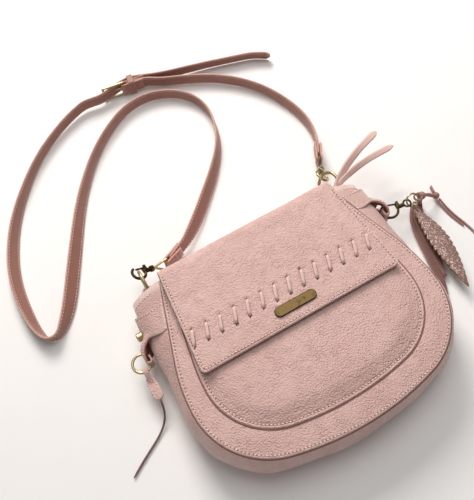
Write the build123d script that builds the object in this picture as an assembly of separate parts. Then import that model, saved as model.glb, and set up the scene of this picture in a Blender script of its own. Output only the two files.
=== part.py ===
"""Saddle crossbody bag with a flap, laid on its back with its strap spread out beside it.

The frame: X runs along the bag's width, Y towards the bag's top and Z out of its front.
The origin is at the middle of the back panel, on the face that the bag rests on.
All sizes are millimetres.
"""
from build123d import *
from collections import namedtuple
from math import cos, hypot, radians, sin, sqrt
import os

# ---- Driving dimensions -------------------------------------------------
# Bag body
PANEL_HALF_WIDTH = 113.0
PANEL_BOTTOM = 100.0
PANEL_TOP = 84.0
PANEL_CORNER = 66.0
PANEL_TAPER = 17.0
BULGE_EXTRA = 6.0
BULGE_HALF_WIDTH = PANEL_HALF_WIDTH + BULGE_EXTRA
BULGE_BOTTOM = 103.0
BULGE_TAPER = 2.5
BOTTOM_RADIUS = 247.0
SIDE_RADIUS = 150.0
BODY_DEPTH = 50.0
LEATHER = 2.2
GUSSET_WALL = 2.0
GUSSET_TOP = 88.0
CAP_TOP = 84.2
BACK_TOP = 90.0
LINING = 0.8
LINING_GAP = 0.2

# Patch pocket on the front, and slip pocket on the lining
POCKET_HALF_WIDTH = 95.5
POCKET_BOTTOM = 78.5
POCKET_TOP = 40.0
POCKET_CORNER = 56.0
POCKET_TAPER = 10.0
POCKET_LEATHER = 1.6
POCKET_ROOM = 4.6
SLIP_POCKET_WIDTH = 120.0
SLIP_POCKET_HEIGHT = 80.0
SLIP_POCKET_ROOM = 4.8

# Zip along the mouth
ZIP_LENGTH = 160.0
ZIP_LEVEL = 81.0
ZIP_GAP = 5.2
TOOTH_DEPTH = 2.2
TOOTH_PITCH = 2.6
TOOTH_HEIGHT = 2.6
TAPE_WIDTH = 14.0
TAPE_THICKNESS = 1.0
FACING_WIDTH = 10.0
SLIDER_LENGTH = 12.0
SLIDER_REST = 62.0
SLIDER_PLATE = 1.4
SLIDER_CLEARANCE = 0.5
THONG_WIDTH = 5.5
THONG_THICKNESS = 1.3

# Flap
FLAP_TOP_HALF_WIDTH = 83.5
FLAP_BOTTOM_HALF_WIDTH = 92.0
FLAP_BOTTOM = -7.0
FLAP_CORNER = 5.0
FLAP_LINING = 1.0
FLAP_OVER_POCKET = 1.7
CREASE_CLEARANCE = 2.5
LACE_HOLES = 14
LACE_ROW = 23.0
LACE_RISE = 13.5
LACE_LEAN = 5.0
LACE_SPAN = 82.0
LACE_WIDTH = 2.8
LACE_THICKNESS = 1.2
EMBLEM_LENGTH = 38.0
EMBLEM_WIDTH = 9.0
EMBLEM_THICKNESS = 1.8
EMBLEM_LEVEL = 6.5
MAGNET_DIAMETER = 18.0
MAGNET_LEVEL = 20.0
MAGNET_THICKNESS = 0.7
MAGNET_PIN = 5.0
MAGNET_HOLE = 6.4

# Corner rings and their tabs
RING_OFFSET = 95.5
RING_RADIUS = 11.0
RING_WIRE = 1.5
RING_TURN_RIGHT = 40.0
TAB_WIDTH = 13.0
TAB_THICKNESS = 2.4
TAB_HOLE = 7.5
TAB_REACH = 3.8

# Swivel hooks between the rings and the strap
HOOK_BOW = 6.2
HOOK_WIRE = 1.3
HOOK_REACH = 32.0
HOOK_HEADING_LEFT = 7.0
HOOK_HEADING_RIGHT = 62.0
EYE_WIRE = 1.1
EYE_ARM = 5.0

# Strap
STRAP_WIDTH = 14.0
STRAP_THICKNESS = 2.2
STRAP_CENTRE = 9.5
STRAP_END_LEG = 11.0
STRAP_BAR_GAP = 3.6

# Buckle, which the strap passes through
BUCKLE_CENTRE = (-26.0, 322.0)
BUCKLE_HEADING = -8.0
BUCKLE_LENGTH = 22.0
TAIL_CLEARANCE = 0.3
TAIL_OUT = 2.5 * STRAP_THICKNESS + TAIL_CLEARANCE
PRONG_WIRE = 0.9
KEEPER_PLACE = 8.5
KEEPER_WIDTH = 6.0
KEEPER_WALL = 1.3

# Side wraps, with the narrow loops that the charms hang from
WRAP_THICKNESS = 2.4
WRAP_DEPTH = 40.0
WRAP_LEFT = (50.0, 78.0)
WRAP_RIGHT = (62.0, 85.0)
LOOP_LEFT = 40.0
LOOP_RIGHT = 53.0
LOOP_WIDTH = 6.0
LOOP_WALL = 2.0
LOOP_ROOM = 5.5
LOOP_DEPTH = 24.0
CHARM_HEIGHT = 20.0
STUD_DIAMETER = 8.0
STUD_HEIGHT = 2.4

# Charms
SIDE_RING_RADIUS = 8.0
SIDE_RING_WIRE = 1.2
CLASP_BOW = 7.5
CLASP_WIRE = 1.2
CHARM_RING_RADIUS = 6.0
CHARM_RING_WIRE = 0.8
FEATHER_LENGTH = 80.0
FEATHER_WIDTH = 23.0
FEATHER_THICKNESS = 1.2
LACE_RADIUS = 1.0

# ---- Levels that follow from them ---------------------------------------
FRONT_INNER = BODY_DEPTH - LEATHER
MIDDLE = BODY_DEPTH / 2
POCKET_INNER = BODY_DEPTH + POCKET_ROOM
POCKET_FACE = POCKET_INNER + POCKET_LEATHER
FLAP_UNDER = POCKET_FACE + FLAP_OVER_POCKET
FLAP_BASE = FLAP_UNDER + FLAP_LINING
FLAP_FACE = FLAP_BASE + LEATHER
CREASE_LEVEL = FLAP_BASE + 0.6
CREASE = BACK_TOP + 1.5
FLAP_TOP_EDGE = CREASE - CREASE_CLEARANCE
TAB_HOLE_LEVEL = GUSSET_TOP + TAB_REACH

Outline = namedtuple("Outline", "half_width taper bottom corner")
PANEL = Outline(PANEL_HALF_WIDTH, PANEL_TAPER, PANEL_BOTTOM, PANEL_CORNER)
BULGE = Outline(BULGE_HALF_WIDTH, BULGE_TAPER, BULGE_BOTTOM, PANEL_CORNER)
POCKET = Outline(POCKET_HALF_WIDTH, POCKET_TAPER, POCKET_BOTTOM, POCKET_CORNER)

parts = {}


def polar(centre, radius, angle):
    """Point at an angle in degrees on a circle in the XY plane."""
    return Vector(centre[0] + radius * cos(radians(angle)), centre[1] + radius * sin(radians(angle)))


def saddle_face(outline, top, grow=0.0, z=0.0):
    """Face of a saddle outline, grown outwards by grow and cut level at y = top."""
    corner_x = outline.half_width - outline.corner
    bottom_centre = BOTTOM_RADIUS - outline.bottom
    drop = sqrt((BOTTOM_RADIUS - outline.corner) ** 2 - corner_x ** 2)
    corner_y = bottom_centre - drop
    scale = (BOTTOM_RADIUS + grow) / (BOTTOM_RADIUS - outline.corner)
    low = Vector(corner_x * scale, bottom_centre - drop * scale)
    corner = (corner_x, corner_y)
    wide = polar(corner, outline.corner + grow, 0)
    side = (outline.half_width - SIDE_RADIUS, corner_y)
    shoulder = polar(side, SIDE_RADIUS + grow, outline.taper)
    lean = sin(radians(outline.taper)) / cos(radians(outline.taper))
    end = Vector(shoulder.X - (top - shoulder.Y) * lean, top)
    bend = (low - Vector(*corner)).normalized() + Vector(1, 0)
    corner_middle = Vector(*corner) + bend.normalized() * (outline.corner + grow)
    side_middle = polar(side, SIDE_RADIUS + grow, outline.taper / 2)
    right = [
        ThreePointArc(low, corner_middle, wide),
        ThreePointArc(wide, side_middle, shoulder),
        Line(shoulder, end),
    ]
    left = [edge.mirror(Plane.YZ) for edge in right]
    bottom = ThreePointArc(
        Vector(-low.X, low.Y), Vector(0, -outline.bottom - grow), low
    )
    rim = Line(end, Vector(-end.X, end.Y))
    return Pos(0, 0, z) * make_face([bottom, *right, rim, *left])


def bag_volume(grow):
    """Solid of the bag between its two panels, bulging at half its depth, a little over its mouth."""
    stations = ((PANEL, LEATHER), (BULGE, MIDDLE), (PANEL, FRONT_INNER))
    return loft([saddle_face(shape, GUSSET_TOP + 1, grow, z) for shape, z in stations], ruled=True)


def slab(x_span, y_span, z_span):
    """Box given by its spans along X, Y and Z."""
    size = [high - low for low, high in (x_span, y_span, z_span)]
    centre = [(high + low) / 2 for low, high in (x_span, y_span, z_span)]
    return Pos(*centre) * Box(*size)


def rod(start, end, radius):
    """Round rod between two points."""
    start, end = Vector(*start), Vector(*end)
    plane = Plane(origin=start, z_dir=end - start)
    return plane.location * Cylinder(
        radius, (end - start).length, align=(Align.CENTER, Align.CENTER, Align.MIN)
    )


def wire_path(points, radius):
    """Bent wire with round joints through a list of points."""
    solid = Sphere(radius).moved(Location(points[0]))
    for start, end in zip(points, points[1:]):
        solid += rod(start, end, radius)
        solid += Sphere(radius).moved(Location(end))
    return solid


def route_radii(points):
    """Largest arc at each corner of a route: 0.45 of the shorter run over the half turn's tangent."""
    radii = []
    for before, at, after in zip(points, points[1:], points[2:]):
        into, out = Vector(*at) - Vector(*before), Vector(*after) - Vector(*at)
        half_turn = radians(into.get_angle(out)) / 2
        radii.append(0.45 * min(into.length, out.length) * cos(half_turn) / sin(half_turn))
    return radii


def route_wire(name, points):
    """Straight runs joined by tangent arcs, with the arcs' radii printed."""
    radii = route_radii(points)
    print(name, "radii", [round(radius, 1) for radius in radii])
    return FilletPolyline(*points, radius=radii)


def cord_tube(name, points, radius):
    """Round cord along a route."""
    path = route_wire(name, points)
    section = Plane(origin=path @ 0, z_dir=path % 0) * Circle(radius)
    solid = sweep(section, path=path)
    report_cord(name, solid, path, section)
    return solid


def ribbon(path, width=STRAP_WIDTH, thickness=STRAP_THICKNESS):
    """Flat strip that stands on its edge along a level path."""
    section = Plane(origin=path @ 0, x_dir=(0, 0, 1), z_dir=path % 0) * Rectangle(width, thickness)
    return sweep(section, path=path)


def report_cord(name, solid, path, section):
    """Print a cord's length, and its volume beside section times length."""
    print(name, "length", round(path.length, 1), "volume", round(solid.volume, 1),
          "section x length", round(section.area * path.length, 1))


def ring(centre, normal, radius, wire):
    """Round wire ring about a centre, in the plane with the given normal."""
    return Plane(origin=centre, z_dir=normal).location * Torus(radius, wire)


# ---- Bag body ------------------------------------------------------------
def back_panel():
    """Back leather, which lies on the table, up to the flap's seam."""
    return extrude(saddle_face(PANEL, BACK_TOP), LEATHER)


def front_panel():
    """Front leather between the mouth and the bottom."""
    return extrude(saddle_face(PANEL, PANEL_TOP, z=FRONT_INNER), LEATHER)


def gusset():
    """Leather band round the sides and the bottom, bulging at half depth."""
    wide, tall = 2 * BULGE_HALF_WIDTH, 2 * BULGE_BOTTOM
    below_mouth = slab((-wide, wide), (-tall, GUSSET_TOP), (0, BODY_DEPTH))
    return (bag_volume(0) - bag_volume(-GUSSET_WALL)) & below_mouth


def gusset_cap(side):
    """Folded-in end of the gusset beside the zip."""
    inside = bag_volume(-GUSSET_WALL)
    start = ZIP_LENGTH / 2 + 1.5
    reach = sorted((side * start, side * (BULGE_HALF_WIDTH + 20)))
    depths = (LEATHER + LINING, FRONT_INNER - LINING)
    return inside & slab(reach, (CAP_TOP - LEATHER, CAP_TOP), depths)


def lining(z):
    """Fabric sheet on the inner face of a panel."""
    top = PANEL_TOP - LEATHER - 1
    return extrude(saddle_face(PANEL, top, -GUSSET_WALL - LINING_GAP, z), LINING)


def slip_pocket():
    """Fabric pocket on the back lining, open at its top."""
    base = LEATHER + LINING
    top = base + SLIP_POCKET_ROOM + LINING
    half = SLIP_POCKET_WIDTH / 2
    low, high = -SLIP_POCKET_HEIGHT / 2, SLIP_POCKET_HEIGHT / 2
    block = slab((-half, half), (low, high), (base, top))
    hollow = slab((1.2 - half, half - 1.2), (low + 1.2, high + 1), (base, top - LINING))
    return block - hollow


def front_pocket():
    """Patch pocket on the front panel, open under the flap."""
    block = extrude(saddle_face(POCKET, POCKET_TOP, z=BODY_DEPTH), POCKET_FACE - BODY_DEPTH)
    hollow = extrude(saddle_face(POCKET, POCKET_TOP + 1, -LEATHER, BODY_DEPTH), POCKET_ROOM)
    return block - hollow - magnet_bore(POCKET_INNER - 1, POCKET_FACE + 1)


# ---- Zip -----------------------------------------------------------------
def zip_side(sign):
    """Leather facing, tape and teeth of one side of the zip."""
    half = ZIP_LENGTH / 2
    wall = MIDDLE + sign * (FRONT_INNER - MIDDLE)
    facing_end = wall - sign * FACING_WIDTH
    teeth_inner = MIDDLE + sign * ZIP_GAP / 2
    teeth_outer = teeth_inner + sign * TOOTH_DEPTH
    tape_outer = teeth_outer + sign * TAPE_WIDTH
    tape_top = ZIP_LEVEL + TAPE_THICKNESS
    facing = slab((-half, half), (tape_top, tape_top + LEATHER), sorted((wall, facing_end)))
    tape = slab((-half, half), (ZIP_LEVEL, tape_top), sorted((teeth_outer, tape_outer)))
    count = int((ZIP_LENGTH - 2 * TOOTH_PITCH) / TOOTH_PITCH)
    start = -TOOTH_PITCH * (count - 1) / 2
    spine = slab(
        (start - 0.6, -start + 0.6),
        (ZIP_LEVEL - 0.5, tape_top + 0.5),
        sorted((teeth_outer - sign * 0.9, teeth_outer)),
    )
    rows = [Pos(start + TOOTH_PITCH * index, 0, 0) for index in range(count)]
    level = ZIP_LEVEL + TAPE_THICKNESS / 2
    tooth = slab(
        (-0.7, 0.7),
        (level - TOOTH_HEIGHT / 2, level + TOOTH_HEIGHT / 2),
        sorted((teeth_inner, teeth_outer - sign * 0.5)),
    )
    teeth = spine + [row * tooth for row in rows]
    return facing, tape, teeth


def zip_stops():
    """Four metal stops that end the two rows of teeth."""
    stops = []
    level = ZIP_LEVEL + TAPE_THICKNESS / 2
    for side in (-1, 1):
        for sign in (-1, 1):
            inner = MIDDLE + sign * (ZIP_GAP / 2 + 0.4)
            outer = MIDDLE + sign * (ZIP_GAP / 2 + TOOTH_DEPTH)
            x = side * (ZIP_LENGTH / 2 - 1.0)
            stops.append(slab((x - 0.9, x + 0.9), (level - 1.3, level + 1.3), sorted((inner, outer))))
    return stops


def zip_slider():
    """Slider: two plates joined by a post that runs between the rows."""
    level = ZIP_LEVEL + TAPE_THICKNESS / 2
    near = TOOTH_HEIGHT / 2 + SLIDER_CLEARANCE
    far = near + SLIDER_PLATE
    half_width = ZIP_GAP / 2 + TOOTH_DEPTH + 1.0
    span = (SLIDER_REST - SLIDER_LENGTH / 2, SLIDER_REST + SLIDER_LENGTH / 2)
    depths = (MIDDLE - half_width, MIDDLE + half_width)
    upper = slab(span, (level + near, level + far), depths)
    lower = slab(span, (level - far, level - near), depths)
    post_half = ZIP_GAP / 2 - 1.0
    post = slab(
        (SLIDER_REST - 2.5, SLIDER_REST + 2.5),
        (level - far, level + far),
        (MIDDLE - post_half, MIDDLE + post_half),
    )
    return upper + lower + post


def zip_pull_bail():
    """Small bail on the slider that the thong is tied to."""
    top = ZIP_LEVEL + TAPE_THICKNESS / 2 + TOOTH_HEIGHT / 2 + SLIDER_CLEARANCE + SLIDER_PLATE
    low, high = top, CREASE - 1.2 - FLAP_LINING - 0.8
    leg = slab((SLIDER_REST - 1, SLIDER_REST + 1), (low, high), (MIDDLE - 3.0, MIDDLE - 1.8))
    other = slab((SLIDER_REST - 1, SLIDER_REST + 1), (low, high), (MIDDLE + 1.8, MIDDLE + 3.0))
    reach = SLIDER_REST + SLIDER_LENGTH / 2 + 5
    arms = [
        slab((SLIDER_REST + 1, reach), (high - 1.0, high), (MIDDLE + z, MIDDLE + z + 1.2))
        for z in (-3.0, 1.8)
    ]
    bar = slab((reach - 1.2, reach), (high - 1.0, high), (MIDDLE - 3.0, MIDDLE + 3.0))
    return leg + other + arms + bar


def thong_tail(points, width, thickness):
    """One tail of the zip's thong, a flat strip bent along a few straight runs."""
    solid = None
    for start, end in zip(points, points[1:]):
        start, end = Vector(*start), Vector(*end)
        run = end - start
        plane = Plane(origin=(start + end) * 0.5, x_dir=run, z_dir=run.cross(Vector(-run.Y, run.X, 0)))
        piece = plane.location * Box(run.length + thickness, width, thickness)
        solid = piece if solid is None else solid + piece
    return solid


def zip_pull_thong():
    """Leather thong tied to the bail, with two free tails past the bag's corner."""
    start = (SLIDER_REST + SLIDER_LENGTH / 2 + 6.4, BACK_TOP - 4.0, MIDDLE)
    under = (FLAP_TOP_HALF_WIDTH + 2.5, BACK_TOP - 3.0, MIDDLE + 6.0)
    corner = (FLAP_TOP_HALF_WIDTH + 12.0, BACK_TOP + 2.4, MIDDLE + 12.0)
    upper = [corner, (114.0, 104.0, 40.0), (137.0, 114.0, 41.0), (156.0, 120.0, 40.0)]
    lower = [corner, (116.0, 97.0, 38.0), (139.0, 100.5, 39.0), (161.0, 101.0, 37.0)]
    tails = thong_tail(upper, THONG_WIDTH, THONG_THICKNESS) + thong_tail(lower, THONG_WIDTH, THONG_THICKNESS)
    return wire_path([start, under, corner], THONG_THICKNESS) + tails


# ---- Flap ----------------------------------------------------------------
def magnet_bore(low, high):
    """Bore for the pin of the magnetic snap."""
    return rod((0, MAGNET_LEVEL, low), (0, MAGNET_LEVEL, high), MAGNET_HOLE / 2)


def magnet_female():
    """Disc on the pocket that takes the pin of the snap."""
    disc = rod((0, MAGNET_LEVEL, POCKET_FACE), (0, MAGNET_LEVEL, POCKET_FACE + MAGNET_THICKNESS),
               MAGNET_DIAMETER / 2)
    return disc - magnet_bore(POCKET_INNER, FLAP_UNDER)


def magnet_male():
    """Disc under the flap with the pin of the snap."""
    disc = rod((0, MAGNET_LEVEL, FLAP_UNDER - MAGNET_THICKNESS), (0, MAGNET_LEVEL, FLAP_UNDER),
               MAGNET_DIAMETER / 2)
    pin = rod((0, MAGNET_LEVEL, FLAP_UNDER - MAGNET_THICKNESS - 0.7),
              (0, MAGNET_LEVEL, FLAP_UNDER - MAGNET_THICKNESS), MAGNET_PIN / 2)
    return disc + pin


def flap_half_width(y):
    """Half of the flap's width at a level."""
    share = (FLAP_TOP_EDGE - y) / (FLAP_TOP_EDGE - FLAP_BOTTOM)
    return FLAP_TOP_HALF_WIDTH + share * (FLAP_BOTTOM_HALF_WIDTH - FLAP_TOP_HALF_WIDTH)


def flap_sheet(base, thickness, top, inset):
    """Sheet in the flap's outline, wider at its rounded bottom corners."""
    low = FLAP_BOTTOM + inset
    bottom, head = flap_half_width(low) - inset, flap_half_width(top) - inset
    face = make_face(Polyline((-bottom, low), (bottom, low), (head, top), (-head, top), close=True))
    rounded = fillet(face.vertices().sort_by(Axis.Y)[:2], FLAP_CORNER)
    return extrude(Pos(0, 0, base) * rounded, thickness)


def lace_stitches():
    """Upper and lower hole of each lacing stitch, which leans across the row."""
    step = 2 * LACE_SPAN / (LACE_HOLES - 1)
    middles = [-LACE_SPAN + step * index - LACE_LEAN / 2 for index in range(LACE_HOLES)]
    rise = LACE_RISE / 2
    lean = LACE_LEAN / 2
    return [((x + lean, LACE_ROW + rise), (x - lean, LACE_ROW - rise)) for x in middles]


def emblem_prongs(radius):
    """Two prongs that hold the emblem through the flap's leather."""
    spread = EMBLEM_LENGTH / 4
    return [rod((x, EMBLEM_LEVEL, FLAP_BASE), (x, EMBLEM_LEVEL, FLAP_FACE), radius)
            for x in (-spread, spread)]


def flap_leather():
    """Front leather of the flap, punched for the lacing and the emblem."""
    sheet = flap_sheet(FLAP_BASE, LEATHER, FLAP_TOP_EDGE, 0)
    holes = [rod((*point, FLAP_BASE - 1), (*point, FLAP_FACE + 1), LACE_WIDTH / 2)
             for pair in lace_stitches() for point in pair]
    return sheet - holes - emblem_prongs(0.8)


def flap_lacing():
    """Row of thong stitches, each through an upper and a lower hole."""
    stitches = []
    for upper, lower in lace_stitches():
        middle = ((upper[0] + lower[0]) / 2, (upper[1] + lower[1]) / 2)
        run = Vector(upper[0] - lower[0], upper[1] - lower[1], 0)
        plane = Plane(origin=(*middle, FLAP_FACE), x_dir=run, z_dir=(0, 0, 1))
        bar = extrude(plane * SlotCenterToCenter(run.length, LACE_WIDTH), LACE_THICKNESS)
        legs = [rod((*point, FLAP_BASE), (*point, FLAP_FACE), LACE_WIDTH / 2)
                for point in (upper, lower)]
        stitches.append(bar + legs)
    return stitches


def flap_emblem():
    """Plain brass bar with rounded ends and its two prongs."""
    plate = extrude(Pos(0, EMBLEM_LEVEL, FLAP_FACE) * SlotOverall(EMBLEM_LENGTH, EMBLEM_WIDTH),
                    EMBLEM_THICKNESS)
    plate = chamfer(plate.edges().group_by(Axis.Z)[-1], 0.6)
    return plate + emblem_prongs(0.8)


def flap_top(offset, thickness):
    """Strip of the flap that stands over the mouth, from the back seam to the crease."""
    low, high = LEATHER + 1.3, CREASE_LEVEL - CREASE_CLEARANCE - 0.5
    inner = CREASE - 1.2 + offset
    return slab((-FLAP_TOP_HALF_WIDTH, FLAP_TOP_HALF_WIDTH), (inner, inner + thickness), (low, high))


# ---- Corner rings, tabs and hooks ---------------------------------------
def ring_tab(side):
    """Upright leather tab on the gusset's end, with the ring's hole."""
    x = side * RING_OFFSET
    low = MIDDLE - TAB_THICKNESS / 2
    stem = slab((x - TAB_WIDTH / 2, x + TAB_WIDTH / 2), (CAP_TOP, TAB_HOLE_LEVEL),
                (low, low + TAB_THICKNESS))
    head = rod((x, TAB_HOLE_LEVEL, low), (x, TAB_HOLE_LEVEL, low + TAB_THICKNESS), TAB_WIDTH / 2)
    clip = slab((x - TAB_WIDTH, x + TAB_WIDTH), (CAP_TOP, CAP_TOP + 40), (0, BODY_DEPTH))
    hole = rod((x, TAB_HOLE_LEVEL, 0), (x, TAB_HOLE_LEVEL, BODY_DEPTH), TAB_HOLE / 2)
    return (stem + head) & clip - hole


def ring_normal(side):
    """Normal of a corner ring's plane."""
    turn = RING_TURN_RIGHT if side > 0 else 0.0
    return Vector(cos(radians(turn)), 0, -sin(radians(turn)))


def corner_ring(side):
    """Brass ring that stands in its tab's hole."""
    centre = (side * RING_OFFSET, TAB_HOLE_LEVEL + RING_RADIUS, MIDDLE)
    return ring(centre, ring_normal(side), RING_RADIUS, RING_WIRE)


def hook_plane(side):
    """Plane of a hook's bow: X from the ring towards the strap, Z across the bow."""
    grip = Vector(side * RING_OFFSET, TAB_HOLE_LEVEL + 2 * RING_RADIUS, MIDDLE)
    reach = strap_bar(side) - grip
    along_ring = ring_normal(side).cross(Vector(0, 1, 0))
    normal = along_ring - reach * (along_ring.dot(reach) / reach.dot(reach))
    return Plane(origin=grip, x_dir=reach, z_dir=normal)


def strap_bar(side):
    """Middle of the upright bar that the strap's end is folded round."""
    heading = radians(HOOK_HEADING_RIGHT if side > 0 else HOOK_HEADING_LEFT)
    drop = MIDDLE - STRAP_CENTRE
    level = sqrt(HOOK_REACH ** 2 - drop ** 2)
    return Vector(
        side * RING_OFFSET + level * cos(heading),
        TAB_HOLE_LEVEL + 2 * RING_RADIUS + level * sin(heading),
        STRAP_CENTRE,
    )


def open_bow(bow, wire, gap_start):
    """Hook's bow about the origin, open from zero to gap_start degrees."""
    section = Plane(origin=(bow, 0, 0), z_dir=(0, 1, 0)) * Circle(wire)
    arc = revolve(section, Axis.Z, -(360 - gap_start))
    return arc + Sphere(wire).moved(Location(polar((0, 0), bow, gap_start)))


def hook_gate(bow, wire):
    """Sprung gate that closes a hook's mouth, between its pivot and its tip."""
    pivot = (bow + 0.9, wire + 2.2, 0)
    tip = (-0.8, bow - 1.2 * wire - 0.3, 0)
    return rod(pivot, tip, 0.7 * wire) + rod((pivot[0], pivot[1], -1.4), (pivot[0], pivot[1], 1.4), 1.2)


def hook_frame(bow, wire, neck):
    """Bow, cheeks for the gate and neck of a snap hook along +X."""
    solid = open_bow(bow, wire, 118)
    solid += rod((bow, 0, 0), (bow + neck, 0, 0), 1.6 * wire)
    cheek = slab((bow - 0.2, bow + 2.2), (0, wire + 3.6), (-2.9, -1.7))
    solid += cheek + Pos(0, 0, 4.6) * cheek
    solid += rod((bow + 0.9, wire + 2.2, -2.9), (bow + 0.9, wire + 2.2, 2.9), 0.6)
    return solid


def gate_bore(bow, wire):
    """Bore of the gate's eye round its pin."""
    return rod((bow + 0.9, wire + 2.2, -4), (bow + 0.9, wire + 2.2, 4), 0.75)


def strap_hook(side):
    """Swivel hook without its gate and its strap eye."""
    frame = hook_frame(HOOK_BOW, HOOK_WIRE, 6.5)
    collar = rod((HOOK_BOW + 6.5, 0, 0), (HOOK_BOW + 9.0, 0, 0), 3.0)
    return hook_plane(side).location * (frame + collar)


def strap_hook_gate(side):
    """Gate of a swivel hook."""
    gate = hook_gate(HOOK_BOW, HOOK_WIRE) - gate_bore(HOOK_BOW, HOOK_WIRE)
    return hook_plane(side).location * gate


def hook_eye(side):
    """Upright loop on the hook's collar, whose far bar holds the strap."""
    plane = hook_plane(side)
    collar = plane.origin + plane.x_dir * (HOOK_BOW + 9.0 + EYE_WIRE)
    bar = strap_bar(side)
    back = Vector(collar.X - bar.X, collar.Y - bar.Y, 0).normalized() * EYE_ARM
    low, high = EYE_WIRE, 2 * STRAP_CENTRE - EYE_WIRE
    points = [
        (collar.X, collar.Y, collar.Z),
        (bar.X + back.X, bar.Y + back.Y, low),
        (bar.X, bar.Y, low),
        (bar.X, bar.Y, high),
        (bar.X + back.X, bar.Y + back.Y, high),
        (collar.X, collar.Y, collar.Z),
    ]
    return wire_path(points, EYE_WIRE) - strap_hook(side)


# ---- Strap ---------------------------------------------------------------
def buckle_point(along, out):
    """Point beside the buckle: along its heading, and out to its front."""
    heading = radians(BUCKLE_HEADING)
    return Vector(
        BUCKLE_CENTRE[0] + along * cos(heading) - out * sin(heading),
        BUCKLE_CENTRE[1] + along * sin(heading) + out * cos(heading),
        STRAP_CENTRE,
    )


def level_route(points):
    """Route points at the strap's height."""
    return [Vector(x, y, STRAP_CENTRE) for x, y in points]


def long_route():
    """Long strap: from the left hook round the inner and the outer loop, through the buckle."""
    bar = strap_bar(-1)
    first = Vector(-48.0, 124.5, STRAP_CENTRE)
    start = bar + (first - bar).normalized() * STRAP_BAR_GAP
    loops = level_route([
        (-28, 139), (-5, 161), (20, 186), (37, 210), (45.5, 235), (46.5, 257), (37, 278),
        (19, 293), (-4, 299.5), (-28, 295.5), (-53, 281.5), (-76, 262), (-96, 239.5),
        (-112.5, 216), (-129, 188), (-146, 157.5), (-161, 131), (-174, 113), (-184, 104),
        (-193.5, 107), (-198, 121), (-199.5, 144), (-197.5, 171), (-191, 197.5), (-179.5, 223.5),
        (-164, 247.5), (-145.5, 270), (-125, 290), (-101.5, 306.5), (-79, 317.5), (-61, 323),
    ])
    half = BUCKLE_LENGTH / 2
    through = [
        buckle_point(-half - 15, -4.1),
        buckle_point(-half - 1.7, -3.9),
        buckle_point(half + 0.7, TAIL_OUT + 0.1),
        buckle_point(half + 14, TAIL_OUT - 0.1),
    ]
    tail = level_route([(22, 315), (49, 309), (76, 302), (103, 293.5), (122, 287.5), (136, 277)])
    return [start, first] + loops + through + tail


def short_route():
    """Short strap: from the right hook up to the buckle's folded end piece."""
    bar = strap_bar(1)
    first = Vector(116.5, 153.5, STRAP_CENTRE)
    start = bar + (first - bar).normalized() * STRAP_BAR_GAP
    rise = level_route([
        (121.5, 168), (123.5, 185), (121.5, 204), (115.5, 225), (105.5, 246), (91, 265.5),
        (70, 283.5), (46, 297), (21, 307.5),
    ])
    half = BUCKLE_LENGTH / 2
    return [start, first] + rise + [buckle_point(half + 22, 0), buckle_point(half + STRAP_BAR_GAP, 0)]


def fold_round(bar, towards):
    """Leather folded round an upright bar, its two legs on either side of a strap."""
    heading = (towards - bar).normalized()
    across = Vector(-heading.Y, heading.X, 0)
    middle = STRAP_THICKNESS
    ends = [bar + heading * STRAP_END_LEG + across * middle * sign for sign in (1, -1)]
    turns = [bar + across * middle * sign for sign in (1, -1)]
    path = Wire([
        Edge.make_line(ends[0], turns[0]),
        Edge.make_three_point_arc(turns[0], bar - heading * middle, turns[1]),
        Edge.make_line(turns[1], ends[1]),
    ])
    return ribbon(path)


def prong_slot(depth):
    """Slot at half the strap's width that the buckle's prong moves in."""
    heading = Plane(origin=buckle_point(0, 0), x_dir=buckle_point(1, 0) - buckle_point(0, 0),
                    z_dir=(0, 0, 1))
    return heading.location * Pos(depth[0], 0, 0) * Box(
        depth[1] - depth[0], 16, 3.4, align=(Align.MIN, Align.CENTER, Align.CENTER))


def strap_long():
    """Long strap with the slot that the prong passes through."""
    path = route_wire("strap_long", long_route())
    solid = ribbon(path)
    report_cord("strap_long", solid, path, Rectangle(STRAP_WIDTH, STRAP_THICKNESS))
    return solid - prong_slot((-9.0, 8.0))


def strap_short():
    """Short strap between the right hook and the buckle."""
    path = route_wire("strap_short", short_route())
    solid = ribbon(path)
    report_cord("strap_short", solid, path, Rectangle(STRAP_WIDTH, STRAP_THICKNESS))
    return solid


def buckle_frame():
    """Oblong brass frame, upright like the strap."""
    half = BUCKLE_LENGTH / 2
    low = Vector(0, 0, EYE_WIRE - STRAP_CENTRE)
    heel, toe = buckle_point(half, 0), buckle_point(-half, 0)
    points = [heel + low, heel - low, toe - low, toe + low, heel + low]
    return wire_path([tuple(point) for point in points], EYE_WIRE)


def buckle_prong():
    """Prong hinged on the frame's heel bar, resting on its toe bar."""
    half = BUCKLE_LENGTH / 2
    eye = Pos(*buckle_point(half, 0)) * Cylinder(EYE_WIRE + 1.5, 2.2)
    start = buckle_point(half - EYE_WIRE - 0.8, 0.8)
    rest = buckle_point(-half + 1.5, EYE_WIRE + PRONG_WIRE + 0.5)
    tip = buckle_point(-half - 1.8, EYE_WIRE + PRONG_WIRE + 0.3)
    solid = eye + wire_path([tuple(start), tuple(rest), tuple(tip)], PRONG_WIRE)
    return solid - Pos(*buckle_point(half, 0)) * Cylinder(EYE_WIRE + 0.35, 10)


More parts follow.
